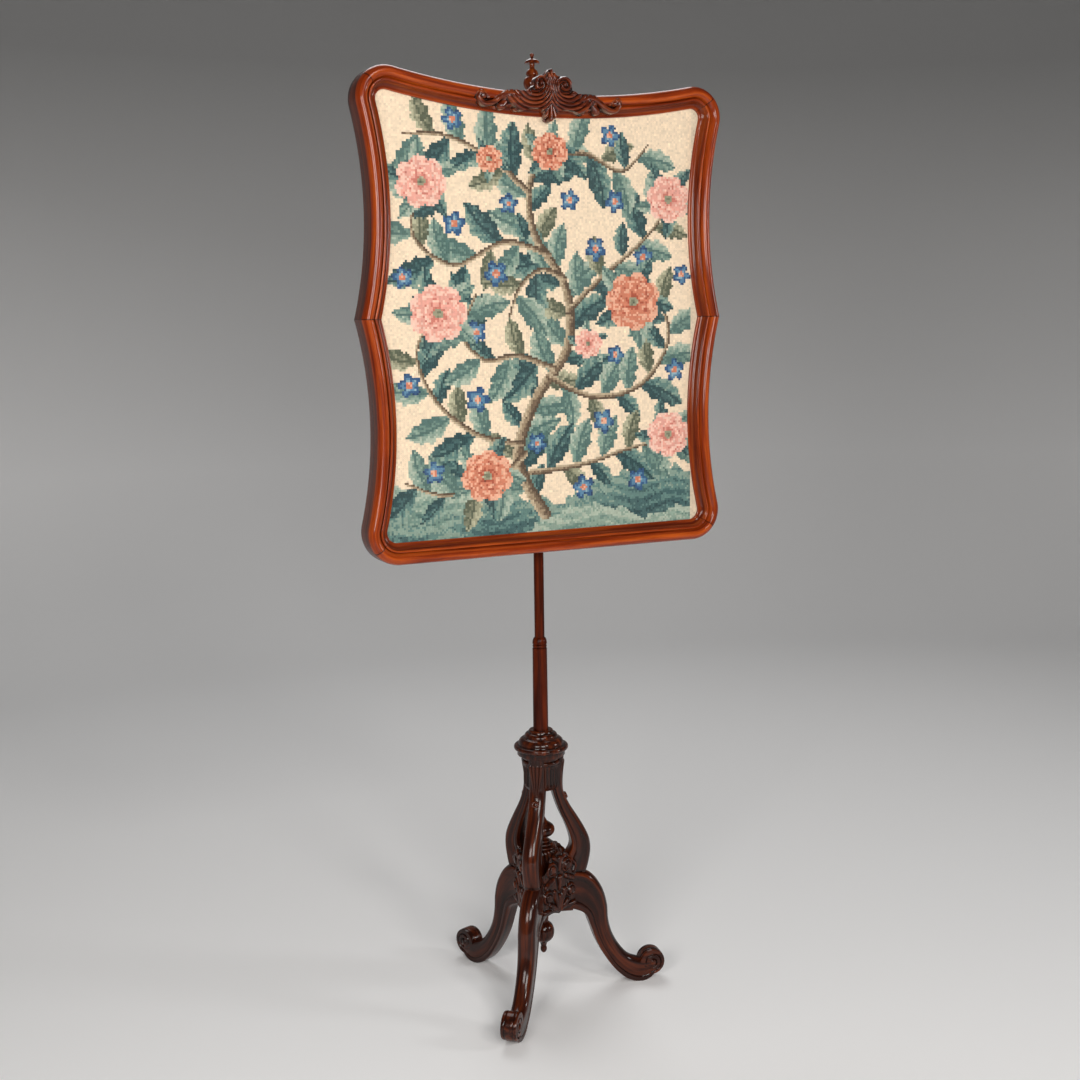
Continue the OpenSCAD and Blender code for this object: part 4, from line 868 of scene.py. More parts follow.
def toeScroll():  # a disc with a cheek on either side and two lines round its rim
    a = np.linspace(0, 2 * math.pi, toe["sectors"], endpoint=False)
    face, cheek, groove = toeCheek(a)
    rim = np.linspace(1, -1, toe["rimRows"])
    line = np.abs(rim) - toe["lineAt"]
    lineCut = toe["lineDeep"] * np.exp(-(line / toe["lineW"]) ** 2)
    rows = [
        leg["toeR"] - toe["rimEase"] * np.abs(rim) ** 6 - lineCut, rim * leg["toeW"] / 2,
        toe["lineDark"] * np.exp(-(line / toe["lineDarkW"]) ** 2),
    ]
    rimR, rimY, rimShade = (np.repeat(row[:, None], len(a), 1) for row in rows)
    rs = np.vstack([face, rimR, face[::-1]])
    ys = np.vstack([cheek, rimY, -cheek[::-1]])
    # painted shade in the winding groove; rimShade is painted shade in the rim's two lines
    shade = np.vstack([toe["grooveDark"] * groove, rimShade, toe["grooveDark"] * groove[::-1]])
    rings = np.stack([leg["reach"] + rs * np.cos(a), ys, leg["toeZ"] + rs * np.sin(a)], -1)
    verts, faces = skinRings(rings)
    grain = np.stack([rs * np.cos(a), rs * np.sin(a), ys], -1).reshape(-1, 3)
    return verts, faces, grain, shade.ravel()


strutLeaf = {
    "reeds": (-9.0, -3.2, 3.2, 9.0), "high": 398.0, "low": 346.0, "steps": 18, "sides": 12, "sunk": 0.6,
    "gather": 0.72, "bend": 1.4, "fat": 3.0, "thin": 1.0, "taper": 0.7,
    "tip": 0.08, "tipFrom": 0.02, "tipLeast": 0.3,
}
rosette = {
    "r": 6.2, "out": 3.6, "dish": 0.4, "eye": 1.1, "sunk": 2.0, "tilt": 68.0, "share": 0.635,
    "sectors": 32, "dark": 0.7,
}


def strutFace(path, z):  # how far out the crowned face lies at a height
    order = np.argsort(path[:, 1])
    return np.interp(z, path[order, 1], (path[:, 0] + path[:, 2] / 2)[order])


def reedTube(path, radii):  # a round ridge along a path on the strut's face
    way = np.gradient(path, axis=0)
    way /= np.linalg.norm(way, axis=1)[:, None]
    across = np.cross(way, np.array([1.0, 0, 0]))
    across /= np.linalg.norm(across, axis=1)[:, None]
    out = np.cross(across, way)
    a = np.linspace(0, 2 * math.pi, strutLeaf["sides"], endpoint=False)[None, :, None]
    rings = path[:, None] + radii[:, None, None] * (across[:, None] * np.cos(a) + out[:, None] * np.sin(a))
    verts, faces = skinRings(rings)
    # the reeds lie under the collar, in painted shade
    return verts, faces, ringGrain(rings), np.full(len(verts), neck["dusk"])


def strutReeds(path):  # they lie on the crowned face and gather towards their tips
    f, tubes = strutLeaf, []
    t = np.linspace(0, 1, f["steps"])
    z = between(t, f["high"], f["low"])
    for y in f["reeds"]:
        across = y * (1 - f["gather"] * t ** f["bend"])
        crowned = np.sqrt(np.clip(1 - (2 * across / strut["w"]) ** 2, 0, 1))
        out = strutFace(path, z) - limbCut["crown"] * strut["d"] * (1 - crowned) - f["sunk"]
        fat = between((1 - t) ** f["taper"], f["thin"], f["fat"])
        fat = fat * np.clip((t + f["tipFrom"]) / f["tip"], f["tipLeast"], 1)
        tubes.append(reedTube(np.stack([out, across, z], 1), fat))
    return tubes


def strutRosette(path):  # a dished button that looks up and out
    r, dish, n, tilt = rosette["r"], rosette["dish"], rosette["sectors"], math.radians(rosette["tilt"])
    ring = np.vstack([
        [(0.3, -1), (0.3, 0.5), (rosette["eye"], dish)],
        ovalArc(0.64 * r, dish, 0.36 * r, rosette["out"] - dish, 180, 0, 12),
        [(r, -rosette["sunk"])],
    ])
    a = np.linspace(0, 2 * math.pi, n, endpoint=False)
    side, level, up = ring[:, :1] * np.cos(a), ring[:, :1] * np.sin(a), np.repeat(ring[:, 1:], n, 1)
    z = stand["knee"] + rosette["share"] * strut["high"]
    out = strutFace(path, z)
    tiltedOut = out + side * math.cos(tilt) + up * math.sin(tilt)
    tiltedUp = z - side * math.sin(tilt) + up * math.cos(tilt)
    verts, faces = skinRings(np.stack([tiltedOut, level, tiltedUp], -1))
    # painted shade in the dished eye and below the rim
    sunk = (ring[:, 0] < rosette["eye"] + 0.2) | (ring[:, 1] < 0)
    return verts, faces, np.zeros_like(verts), np.repeat(np.where(sunk, rosette["dark"], 0.0), n)


def basePiece(name, node, verts, faces, grain, shade, sharp=38):
    addPiece(name, verts, faces, "stand", baseWood, [node], grain, shade, sharp)


def makeLimbs():
    legVerts, legFaces, legGrain, legShade = gather([limb(legPath(), *leg["ways"]), toeScroll()])
    legVerts[:, 2] = np.clip(legVerts[:, 2], 0, stand["knee"])
    path = strutPath()
    strutParts = [limb(path, *strut["ways"])] + strutReeds(path) + [strutRosette(path)]
    strutVerts, strutFaces, strutGrain, strutShade = gather(strutParts)
    for place, turn in zip(("front", "right", "back"), stand["turns"]):
        shift, name = turn * plankTurn, place.capitalize()
        basePiece("carvedLeg" + name, "leg_" + place, turnAbout(legVerts, turn), legFaces,
                  legGrain + shift, legShade)
        basePiece("cageStrut" + name, "cage_strut_" + place, turnAbout(strutVerts, turn), strutFaces,
                  strutGrain + shift, strutShade)


makeLimbs()
print("legs and struts are made")


# Carved pieces, each a front drawn as depths over a flat back
nowhere = -99.0  # the depth that a form has beside itself
# painted shade in carved grooves: smoothing passes, depth for full shade, most shade
carving = {"passes": 16, "deep": 0.7, "dark": 0.9}


def ridgeOver(x, y, start, end, r0, r1):  # height of a rounded ridge between two points
    dx, dy = end[0] - start[0], end[1] - start[1]
    t = np.clip(((x - start[0]) * dx + (y - start[1]) * dy) / (dx * dx + dy * dy), 0, 1)
    r = between(t, r0, r1)
    off = np.hypot(x - start[0] - t * dx, y - start[1] - t * dy)
    return np.where(off < r, np.sqrt(np.clip(r * r - off * off, 0, None)), nowhere)


def softened(depth, passes):  # each point drawn towards its four neighbours
    for _ in range(passes):
        edge = np.pad(depth, 1, mode="edge")
        around = edge[:-2, 1:-1] + edge[2:, 1:-1] + edge[1:-1, :-2] + edge[1:-1, 2:]
        depth = (edge[1:-1, 1:-1] * 2 + around) / 6
    return depth


def carvedSlab(x, y, depth, backX, backDepth):  # columns by rows, to corners, faces, grain and shade
    m, n = depth.shape
    # painted shade in the grooves, where the carving lies behind its softened self
    shade = np.clip((softened(depth, carving["passes"]) - depth) / carving["deep"], 0, carving["dark"])
    front = np.stack([x, y, depth], -1).reshape(-1, 3)
    edges = [np.stack([backX[:, k], y[:, k], np.full(m, backDepth)], -1) for k in (0, -1)]
    rear = np.stack(edges, 1).reshape(-1, 3)
    i, j = np.meshgrid(np.arange(m - 1), np.arange(n - 1), indexing="ij")
    a = i * n + j
    faces = np.stack([a, a + n, a + n + 1, a + 1], -1).reshape(-1, 4).tolist()
    base = m * n
    for k in range(m - 1):
        low, high, back = k * n, k * n + n - 1, base + 2 * k
        faces.append([back, back + 2, low + n, low])
        faces.append([high, high + n, back + 3, back + 1])
        faces.append([back + 1, back + 3, back + 2, back])
    faces.append([base] + list(range(n)) + [base + 1])
    faces.append([base + 2 * m - 1] + [base - 1 - k for k in range(n)] + [base + 2 * m - 2])
    verts = np.vstack([front, rear])
    grain = np.stack([verts[:, 1], verts[:, 0], verts[:, 2]], -1)
    return verts, faces, grain, np.concatenate([shade.ravel(), np.zeros(2 * m)])


apron = {
    "back": 31.2, "gap": 14.2, "t": 8.0, "low": 60.0, "high": 46.0, "rise": 5.0, "fall": 32.0,
    "scallop": 3.5, "lowScallops": 1.5, "highScallops": 2.0, "columns": 111, "rows": 131, "ground": 2.2,
    "lobeIn": 1.0, "scrolls": ((17, 19), (25, -26)), "dark": 0.5, "darkBelow": 0.8,
}
button = {
    "r": 12.4, "eye": 6.8, "up": 2.4, "dome": 0.36, "edge": 0.5, "deep": 1.9, "wind": 1.3, "windFrom": 2.2,
}
apronLobes = [  # from, to, first radius, last radius
    ((0, -50), (0, -30), 2.2, 4.6), ((2, -52), (11, -22), 2.6, 4.8), ((3, -53), (18, -42), 3.4, 4.6),
    ((0, 14), (0, 34), 2.4, 5.4), ((3, 31), (12, 38), 4, 3.4), ((0, -17), (0, 1), 2.6, 6.2),
    ((15, 1), (31, -7), 4.2, 4), ((27, 31), (36, 18), 3.6, 4.4), ((34, 4), (37, 12), 3.4, 3),
    ((12, -50), (34, -50), 3.4, 4),
]


def ringedButton(x, y, centre):  # a domed button in a sunk ring with a raised, winding edge
    r, eye, top = button["r"], button["eye"], apron["t"] + button["up"]
    rho = np.hypot(x - centre[0], y - centre[1])
    dome = top + button["dome"] * np.sqrt(np.clip(eye * eye - rho * rho, 0, None))
    wound = 0.5 + 0.5 * np.cos(np.arctan2(y - centre[1], x - centre[0]) + button["windFrom"])
    sunk = button["deep"] * (1 + np.cos(2 * math.pi * (rho - eye) / (r - eye)))
    band = top + button["edge"] - sunk - button["wind"] * wound ** 2
    return np.where(rho > r, nowhere, np.where(rho < eye, dome, band))


def apronRelief(x, y):
    ax, t = np.abs(x), apron["t"]
    depth = np.full(x.shape, t - apron["ground"])
    for start, end, r0, r1 in apronLobes:
        depth = np.maximum(depth, t - apron["lobeIn"] + ridgeOver(ax, y, start, end, r0, r1))
    for centre in apron["scrolls"]:
        scroll = ringedButton(ax, y, centre)
        depth = np.where(scroll > 0, scroll, depth)
    return depth


def scallops(count, s):
    return apron["scallop"] * np.abs(np.sin(count * math.pi * s))


def makeAprons():
    s = np.linspace(-1, 1, apron["columns"])[:, None]
    row = np.linspace(0, 1, apron["rows"])[None, :]
    low = apron["rise"] * s * s - apron["low"] + scallops(apron["lowScallops"], s)
    high = apron["high"] - apron["fall"] * s * s - scallops(apron["highScallops"], s)
    y = between(row, low, high)
    edge = math.sqrt(3) * (apron["back"] + apron["t"]) - 2 * apron["gap"]  # between legs 120 degrees apart
    rear = math.sqrt(3) * apron["back"] - 2 * apron["gap"]
    x = s * edge + 0 * row
    depth = softened(apronRelief(x, y), 2)
    verts, faces, grain, shade = carvedSlab(x, y, depth, s * rear + 0 * row, 0.0)
    # painted shade on the sunk ground between the lobes and buttons
    ground = apron["dark"] * (verts[:, 2] < apron["t"] - apron["darkBelow"])
    shade = np.maximum(shade, ground)
    placed = np.stack([apron["back"] + verts[:, 2], verts[:, 0], stand["knee"] + verts[:, 1]], -1)
    first = stand["turns"][0]
    for place, turn in (("right", first + 60), ("back", first + 180), ("left", first - 60)):
        basePiece("leafApron" + place.capitalize(), "leaf_apron_" + place, turnAbout(placed, turn), faces,
                  grain + 500.0 * turn, shade, sharp=60)


makeAprons()
print("leaf aprons are made")


# Carved crest on the top rail
crest = {
    "tail": 117.0, "voluteX": 22.5, "voluteY": 13.0, "voluteR": 12.0, "eye": 3.0, "out": 4.0, "back": 30.0,
    "rib": 3.0, "ribs": 5, "ribRound": 1.2, "curlFrom": 200.0, "lap": 345.0, "fade": 25.0, "margin": 6.0,
    "lineDeep": 0.9, "lineW": 0.14, "lineFrom": 215.0, "lineFade": 30.0, "groundIn": 3.0, "proud": 0.5,
    "tailR": 4.5, "tipR": 3.2, "tailIn": 2.0, "tailSteep": 1.3, "lean": 0.25, "leanOver": 11.0,
    "fineTo": 0.36, "fineColumns": 96, "columns": 100, "rows": 97,
}
crestUpper = [  # share of the tail's length, height over the dip of the rail
    (0, 35), (0.034, 33), (0.068, 29), (0.1, 26), (0.145, 25), (0.197, 24.8), (0.24, 23), (0.275, 20),
    (0.295, 16), (0.305, 11), (0.32, 6), (0.35, 2.5), (0.4, 1), (0.46, 1.2), (0.56, 1.5), (0.62, 0.5),
    (0.68, -3), (0.75, -8.5), (0.81, -12), (0.86, -8.5), (0.905, -2.5), (0.95, 0), (0.99, -1), (1.02, -5),
    (1.035, -9),
]
crestLower = [
    (0, -41), (0.026, -40.2), (0.051, -38), (0.073, -33.5), (0.09, -28), (0.12, -24.5), (0.17, -23.5),
    (0.24, -23), (0.3, -24), (0.35, -26), (0.43, -28.5), (0.49, -28), (0.515, -24), (0.545, -19),
    (0.58, -22), (0.625, -26), (0.675, -27.5), (0.725, -26), (0.79, -23.5), (0.855, -24.5), (0.915, -24.5),
    (0.965, -21), (1.01, -15.5), (1.035, -10.5),
]
ribLines = [  # turn from the tips, then innermost rib and space between ribs in volute radii
    (-15, 2, 0.65), (0, 1.83, 0.62), (75, 1.38, 0.475), (165, 1.04, 0.27), (205, 0.92, 0.3),
    (245, 0.82, 0.37), (345, 0.8, 0.37), (435, 0.53, 0.3), (525, 0.37, 0.25),
]
tailLine = [  # share of the tail's length, height
    (0.45, -7), (0.56, -3), (0.68, -8), (0.79, -17), (0.91, -20), (0.985, -12), (0.96, -4), (0.92, -9),
]
crestLobes = [  # from, to, first radius, last radius, depth of the middle
    ((0, -13), (0, -37), 2.0, 3.4, 43.5), ((1.5, -13), (8, -33), 1.5, 3.0, 42.5),
    ((3, -13), (11.5, -27.5), 1.2, 2.2, 42), ((0, 6), (0, 33), 2.2, 1.6, 46.4),
    ((2.6, 8), (5.5, 28.5), 1.7, 1.3, 45.8), ((42.1, -20), (53.8, -23), 4, 5, 37),
    ((66.7, -8), (78.4, -21), 4, 6, 37), ((107.6, -9), (107.7, -9), 4.5, 4.5, 42),
    ((74, -4.5), (99, -7), 1.4, 1.6, 42.6), ((88, -10), (101, -11.5), 1.3, 1.4, 41.5),
]


def mouldingDepth(u):  # depth of the moulding's face at a distance in from its outer edge
    faceLine = section[section[:, 1] > moulding["sight"] - 0.5]
    order = np.argsort(faceLine[:, 0])
    return np.interp(u, faceLine[order, 0], faceLine[order, 1])


def ribDepth(rho, turn, count, top):  # rounded ribs, with a fine line along the one that curls over
    c, table = crest, np.array(ribLines)
    middle, space = (c["voluteR"] * np.interp(turn, table[:, 0], table[:, k]) for k in (1, 2))
    k = (rho - middle) / space
    fade = np.clip((c["lap"] - 360 + c["fade"] - turn) / c["fade"], 0, 1)
    depth = top - c["rib"] * (1 - np.abs(np.cos(math.pi * k)) ** c["ribRound"]) - c["out"] * fade
    lined = np.clip((turn - c["lineFrom"]) / c["lineFade"], 0, 1)
    depth -= c["lineDeep"] * np.exp(-(k / c["lineW"]) ** 2) * lined
    inside = (k > -0.5) & (k < count - 0.5) & (turn < table[-1, 0])
    return np.where(inside, depth, nowhere)


def crestGround(ax, y):  # a thin plate in the middle, and the moulding's own face beside and under it
    c = crest
    u = np.hypot(ax, y - panel["topR"]) - panel["topR"]
    middle = ax < c["voluteX"] + c["voluteR"] + c["margin"]
    plain = np.where(middle, moulding["depth"] - c["groundIn"], mouldingDepth(0) + c["proud"])
    return np.where(u < 0, plain, mouldingDepth(u) + c["proud"])


def crestRelief(x, y):
    c, d, ax = crest, moulding["depth"], np.abs(x)
    top = d + c["out"]
    qx, qy = ax - c["voluteX"], y - c["voluteY"]
    rho = np.hypot(qx, qy)
    turn = c["lap"] - np.degrees(np.arctan2(qy, qx)) % 360
    depth = crestGround(ax, y)
    depth = np.maximum(depth, ribDepth(rho, turn, np.where(turn < c["curlFrom"], c["ribs"], 1), top))
    depth = np.maximum(depth, ribDepth(rho, turn + 360, 1, top))
    dome = top - c["eye"] + np.sqrt(np.clip(c["eye"] ** 2 - rho ** 2, 0, None))
    depth = np.maximum(depth, np.where(rho < c["eye"], dome, nowhere))
    for start, end, r0, r1, mid in crestLobes:
        depth = np.maximum(depth, mid + ridgeOver(ax, y, start, end, r0, r1))
    line = smoothCurve(np.array(tailLine) * np.array([c["tail"], 1]), 6)
    radii = between(np.linspace(0, 1, len(line)), c["tailR"], c["tipR"])
    for start, end, r0, r1 in zip(line[:-1], line[1:], radii[:-1], radii[1:]):
        depth = np.maximum(depth, d - c["tailIn"] + c["tailSteep"] * ridgeOver(ax, y, start, end, r0, r1))
    return depth


def leanLeft(verts):  # the left volute winds closer in than the right one
    up = np.clip(verts[:, 1] / crest["leanOver"], 0, 1)
    drawn = 1 - crest["lean"] * up ** 2 * (3 - 2 * up)
    verts[:, 0] *= np.where(verts[:, 0] < 0, drawn, 1)


def makeCrest():
    upper, lower = (smoothCurve(edge, 5) for edge in (crestUpper, crestLower))
    fine = np.linspace(0, crest["fineTo"], crest["fineColumns"])
    half = np.concatenate([fine, np.linspace(crest["fineTo"], upper[-1, 0], crest["columns"])[1:]])
    s = np.concatenate([-half[:0:-1], half])[:, None]
    row = np.linspace(0, 1, crest["rows"])[None, :]
    high = np.interp(np.abs(s), upper[:, 0], upper[:, 1])
    low = np.interp(np.abs(s), lower[:, 0], lower[:, 1])
    x = s * crest["tail"] + 0 * row
    y = between(row, low, high)
    depth = softened(crestRelief(x, y), 1)
    verts, faces, grain, shade = carvedSlab(x, y, depth, x, crest["back"])
    leanLeft(verts)
    placed = standUp(verts + np.array([0, panel["topRise"], 0]))
    addPiece("carvedCrest", placed, faces, "screen", crestWood, ["crest"],
             grain[:, [1, 0, 2]], shade, sharp=60)


makeCrest()
print("crest is made")


# Needlepoint: slanted stitches in a generic garden design
wool = {
    "cream": (238, 217, 189), "margin": (222, 205, 180),
    "teal": ((36, 70, 74), (62, 96, 97), (93, 128, 122), (133, 156, 142)),
    "sage": ((78, 110, 105), (108, 138, 127), (138, 161, 146), (170, 183, 166)),
    "olive": ((84, 92, 74), (118, 122, 100), (150, 150, 124), (180, 178, 150)),
    "bark": ((84, 68, 54), (112, 93, 74), (156, 137, 111), (188, 170, 142)),
    "rose": ((158, 70, 58), (204, 122, 108), (228, 164, 148), (240, 198, 180)),
    "rust": ((120, 50, 38), (172, 84, 62), (206, 126, 98), (230, 174, 146)),
    "blue": ((28, 58, 96), (44, 86, 128), (86, 130, 160), (140, 172, 184)),
}
stitch = {
    "pitch": 3.2, "high": 0.62, "ridge": 0.26, "ground": 21.8, "under": 3.0, "marginX": 254.0,
    "toneSpread": 0.028, "highSpread": 0.07, "seed": 7,
}
stitchFaces = [(0, 1, 5, 4), (0, 4, 5, 3), (1, 2, 5), (2, 3, 5)]  # corners 0 to 3, ends of the ridge 4, 5


class Canvas:  # colours of the stitches, painted shape by shape
    def __init__(self, x, y, rng):
        self.x, self.y, self.rng = x, y, rng
        self.colour = np.tile(np.array(wool["cream"], float), (len(x), 1))

    def fill(self, mask, tones, tone):  # tone runs from 0, dark, to 1, light, and is broken up a little
        rough = tone + self.rng.normal(0, 0.09, len(self.x))
        pick = np.clip((rough * len(tones)).astype(int), 0, len(tones) - 1)
        self.colour = np.where(mask[:, None], np.array(tones, float)[pick], self.colour)

    def branch(self, points, thick, thin, tones):
        line = smoothCurve(points, 6)
        best = np.full(len(self.x), 1e9)
        side = np.zeros(len(self.x))
        width = np.zeros(len(self.x))
        for i in range(len(line) - 1):
            a, d = line[i], line[i + 1] - line[i]
            t = np.clip(((self.x - a[0]) * d[0] + (self.y - a[1]) * d[1]) / (d @ d), 0, 1)
            ox, oy = self.x - a[0] - t * d[0], self.y - a[1] - t * d[1]
            off = np.hypot(ox, oy)
            closer = off < best
            best = np.where(closer, off, best)
            side = np.where(closer, (d[0] * oy - d[1] * ox) / np.linalg.norm(d), side)
            width = np.where(closer, thick + (thin - thick) * (i + t) / (len(line) - 1), width)
        self.fill(best < width, tones, 0.5 + 0.5 * side / np.maximum(width, 1))
        return line

    def leaf(self, cx, cy, angle, length, width, tones):
        c, s = math.cos(angle), math.sin(angle)
        along = ((self.x - cx) * c + (self.y - cy) * s) / length
        across = (-(self.x - cx) * s + (self.y - cy) * c) / width
        bow = 0.32 * along * (1 - along) * 4
        off = across - bow * 0.5
        edge = 0.5 * np.sin(math.pi * np.clip(along, 0, 1)) ** 0.75 * (1 + 0.12 * np.sin(along * 26))
        inside = (along > 0) & (along < 1) & (np.abs(off) < edge)
        tone = 0.46 + 0.9 * off + 0.34 * (along - 0.5) + 0.13 * np.sin(along * 30 - 14 * np.abs(off))
        self.fill(inside, tones, np.where(np.abs(off) < 0.06, 0.05, tone))

    def bloom(self, cx, cy, r, tones, heart, turn, petals=7):
        rho = np.hypot(self.x - cx, (self.y - cy) * 1.08) / r
        a = np.arctan2(self.y - cy, self.x - cx) + turn
        for size, shift in ((1.0, 0.0), (0.74, 0.45), (0.47, 0.9)):
            wave = np.abs(np.cos(petals / 2 * (a + shift)))
            edge = size * (0.78 + 0.22 * wave ** 0.5)
            tone = 0.1 + 0.85 * rho / edge * (0.55 + 0.45 * wave)
            self.fill(rho < edge, tones, tone)
        self.fill(rho < 0.17, heart, 0.2 + 3.2 * rho)

    def star(self, cx, cy, r, tones, heart, turn):
        rho = np.hypot(self.x - cx, self.y - cy) / r
        a = np.arctan2(self.y - cy, self.x - cx) + turn
        edge = 0.55 + 0.45 * np.abs(np.cos(2.5 * a))
        self.fill(rho < edge, tones, 1.05 - 0.8 * rho / edge)
        self.fill(rho < 0.27, heart, 0.7 + 0 * rho)

    def hill(self, cx, cy, rx, ry, tones):
        rho = np.hypot((self.x - cx) / rx, (self.y - cy) / ry)
        rho = rho * (1 + 0.035 * np.sin(self.x * 0.13) + 0.02 * np.sin(self.x * 0.31 + self.y * 0.2))
        ripple = np.sin(self.y * 0.36 + 2.2 * np.sin(self.x * 0.05))
        self.fill(rho < 1, tones, 0.15 + 0.75 * rho ** 2 + 0.14 * ripple)


stem = [(-8, -300), (-52, -215), (-22, -125), (34, -45), (32, 45), (-20, 125), (-26, 200), (10, 250)]
boughs = [
    [(-48, -190), (-120, -172), (-185, -120), (-214, -50), (-186, 0)],
    [(0, -88), (80, -122), (165, -104), (214, -35), (192, 30), (150, 28)],
    [(36, 10), (95, 62), (168, 118), (222, 178)],
    [(4, 95), (-70, 112), (-150, 78), (-214, 118), (-206, 190)],
    [(-28, 185), (-88, 232), (-160, 262), (-226, 262)],
    [(-4, 236), (66, 246), (130, 222), (176, 262)],
    [(-30, -235), (60, -226), (140, -206), (226, -190)],
    [(10, -76), (-52, -56), (-104, -62), (-140, -24), (-118, 34)],
    [(30, 60), (-10, 72), (-46, 44), (-62, 4)],
    [(-40, -205), (-96, -246), (-170, -262), (-236, -240)],
]
blooms = [  # place, radius, colour
    (-178, 8, 47, "rose"), (150, 24, 49, "rust"), (-200, 196, 41, "rose"), (214, 182, 40, "rose"),
    (8, 246, 31, "rust"), (214, -186, 40, "rose"), (-104, -236, 43, "rust"), (70, -40, 25, "rose"),
    (-92, 232, 22, "rust"),
]
stars = [  # place, radius
    (-118, -120, 20), (-226, -96, 19), (96, -160, 20), (226, -84, 19), (84, 104, 19), (168, 92, 18),
    (-84, 66, 20), (-150, 138, 19), (-150, 286, 17), (110, 274, 18), (60, -262, 20), (158, -256, 19),
    (-190, -226, 18), (-20, -190, 17), (-62, 168, 16), (118, 176, 18), (40, 176, 17), (-118, -20, 18),
    (118, -58, 16), (-232, 60, 17), (238, 66, 17),
]
hills = [  # middle, half width, height, colour
    (-210, -366, 190, 122, "sage"), (190, -370, 210, 132, "teal"), (-60, -380, 170, 108, "teal"),
    (70, -396, 150, 104, "sage"), (-250, -386, 150, 84, "teal"), (250, -388, 130, 84, "sage"),
]


leafing = {
    "kinds": ("teal", "sage", "teal", "olive", "sage"), "from": 30, "space": 24, "stop": 8, "ahead": 4,
    "length": 56, "longer": 28, "slim": 0.46, "lean": 0.85, "leanMore": 0.25,
}
bloomLeaves = {"count": 5, "first": 0.6, "step": 1.2566, "turn": 0.5, "length": 1.55, "width": 0.62}
starTurn = 0.7


def growLeaves(canvas):  # along the stem and the boughs, on either side by turns
    g, count = leafing, 0
    for line in [stem] + boughs:
        fine = smoothCurve(line, 6)
        run = alongLine(fine)
        for at in np.arange(g["from"], run[-1] - g["stop"], g["space"]):
            p, q = ([np.interp(s, run, fine[:, k]) for k in (0, 1)] for s in (at, at + g["ahead"]))
            way = math.atan2(q[1] - p[1], q[0] - p[0])
            side = 1 if count % 2 else -1
            length = g["length"] + g["longer"] * ((count * 7) % 5) / 4
            lean = g["lean"] + g["leanMore"] * ((count * 3) % 4) / 3
            tones = wool[g["kinds"][count % len(g["kinds"])]]
            canvas.leaf(p[0], p[1], way + side * lean, length, g["slim"] * length, tones)
            count += 1


def growBlooms(canvas):  # each on a ring of leaves
    b = bloomLeaves
    for n, (cx, cy, r, tones) in enumerate(blooms):
        for k in range(b["count"]):
            green = wool["teal" if (k + n) % 2 else "sage"]
            angle = b["first"] + b["step"] * k + b["turn"] * n
            canvas.leaf(cx, cy, angle, b["length"] * r, b["width"] * r, green)
        canvas.bloom(cx, cy, r, wool[tones], wool["olive"], b["turn"] * n)


def paintGarden(x, y, rng):
    canvas = Canvas(x, y, rng)
    for cx, cy, rx, ry, tones in hills:
        canvas.hill(cx, cy, rx, ry, wool[tones])
    growLeaves(canvas)
    canvas.branch(stem, 10, 4.5, wool["bark"])
    for line in boughs:
        canvas.branch(line, 5.0, 2.0, wool["bark"])
    for n, (cx, cy, r) in enumerate(stars):
        canvas.star(cx, cy, r, wool["blue"], wool["rust"], starTurn * n)
    growBlooms(canvas)
    edge = (x > stitch["marginX"])[:, None]
    return np.where(edge, np.array(wool["margin"], float), canvas.colour)


def panelOutline(inset):
    p = panel
    c, cusp = plan["sideC"], math.degrees(math.asin(p["bay"] / (p["sideR"] + inset)))
    side, top = p["sideR"] + inset, p["topR"] + inset
    upperR, lowerR = p["topCornerR"] - inset, p["lowCornerR"] - inset
    half = np.vstack([
        ovalArc(0, plan["topC"][1], top, top, 270, 270 + plan["topHalf"], 20),
        ovalArc(*plan["cornerT"], upperR, upperR, 90 + plan["topHalf"], -plan["turnT"], 16),
        ovalArc(c[0], p["bay"], side, side, 180 - plan["turnT"], 180 + cusp, 24),
        ovalArc(c[0], -p["bay"], side, side, 180 - cusp, 180 + plan["turnB"], 24),
        ovalArc(*plan["cornerB"], lowerR, lowerR, plan["turnB"], -90, 16),
    ])
    return np.vstack([half, half[:0:-1] * np.array([-1, 1])])


def inOutline(x, y, line):
    inside = np.zeros(len(x), bool)
    for (ax, ay), (bx, by) in zip(line, np.roll(line, -1, 0)):
        if ay == by:
            continue
        crossing = (ay > y) != (by > y)
        inside ^= crossing & (x < (bx - ax) * (y - ay) / (by - ay) + ax)
    return inside


def stitchPlaces(line):
    low, high = line.min(0), line.max(0)
    columns, rows = (np.arange(low[k], high[k], stitch["pitch"]) for k in (0, 1))
    x, y = (grid.ravel() for grid in np.meshgrid(columns, rows))
    keep = inOutline(x, y, line)
    return x[keep], y[keep]


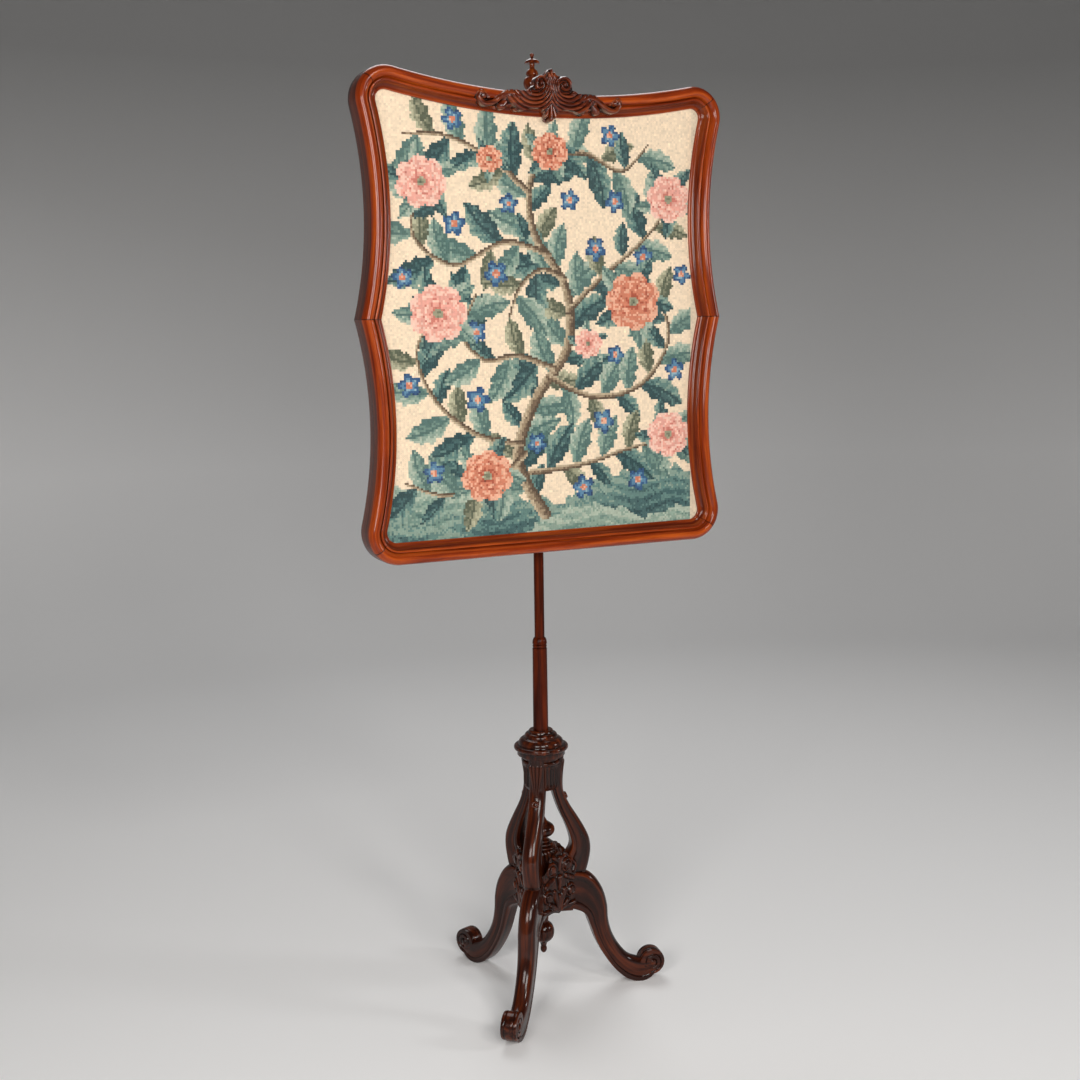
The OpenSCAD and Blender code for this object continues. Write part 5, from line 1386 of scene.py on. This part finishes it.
def stitchPoints(x, y, rng):  # four corners and the two ends of a slanted ridge
    half, ridge, high = stitch["pitch"] / 2, stitch["ridge"] * stitch["pitch"], stitch["high"]
    spots = [(-half, -half, 0), (half, -half, 0), (half, half, 0), (-half, half, 0)]
    spots += [(-ridge, -ridge, high), (ridge, ridge, high)]
    lift = rng.normal(1, stitch["highSpread"], len(x))
    return np.stack([np.stack([x + a, y + b, stitch["ground"] + c * lift], 1) for a, b, c in spots], 1)


def makeNeedlepoint():
    rng = np.random.default_rng(stitch["seed"])
    line = panelOutline(moulding["face"] - stitch["under"])
    x, y = stitchPlaces(line)
    count = len(x)
    colour = paintGarden(x, y, rng) * (1 + rng.normal(0, stitch["toneSpread"], (count, 1)))
    light = np.array(linear(*np.clip(colour, 0, 255).T)).T
    verts = stitchPoints(x, y, rng)
    starts = np.arange(count)[:, None] * verts.shape[1]
    sets = [(starts + np.array(face)).tolist() for face in stitchFaces]
    faces = [face for oneStitch in zip(*sets) for face in oneStitch]
    mesh = bpy.data.meshes.new("needlepointPanel")
    mesh.from_pydata((standUp(verts.reshape(-1, 3)) * mm).tolist(), [], faces)
    order = [k for face in stitchFaces for k in face]
    tint = np.ones((count, len(order), 4), np.float32)
    tint[:, :, :3] = light[:, None, :]
    mesh.attributes.new("wool", "FLOAT_COLOR", "CORNER").data.foreach_set("color", tint.ravel())
    low, high = line.min(0), line.max(0)
    uv = (verts[:, order, :2] - low) / (high - low).max()
    mesh.uv_layers.new(name="OFBake").data.foreach_set("uv", uv.astype(np.float32).ravel())
    mesh.polygons.foreach_set("use_smooth", [True] * len(mesh.polygons))
    piece = placePiece("needlepointPanel", mesh, "screen", woolFinish, ["needlepoint"])
    print("needlepoint is worked:", count, "stitches")


makeNeedlepoint()


# CAD pieces that show as they are
finishes = {
    "lower_pole": poleWood, "upper_pole": poleWood, "back_board": backWood, "stretcher_board": paleWood,
    "leg_dowels": paleWood, "strut_dowels": paleWood, "frame_dowels": paleWood,
    "upper_bracket": brassFinish, "lower_bracket": brassFinish, "bracket_screws": brassFinish,
    "back_screws": brassFinish, "stop_collar": brassFinish, "thumb_screw": brassFinish,
}
for node, finish in finishes.items():
    cadNodes[node].data.materials.clear()
    cadNodes[node].data.materials.append(finish)
print("remaining CAD pieces are finished")
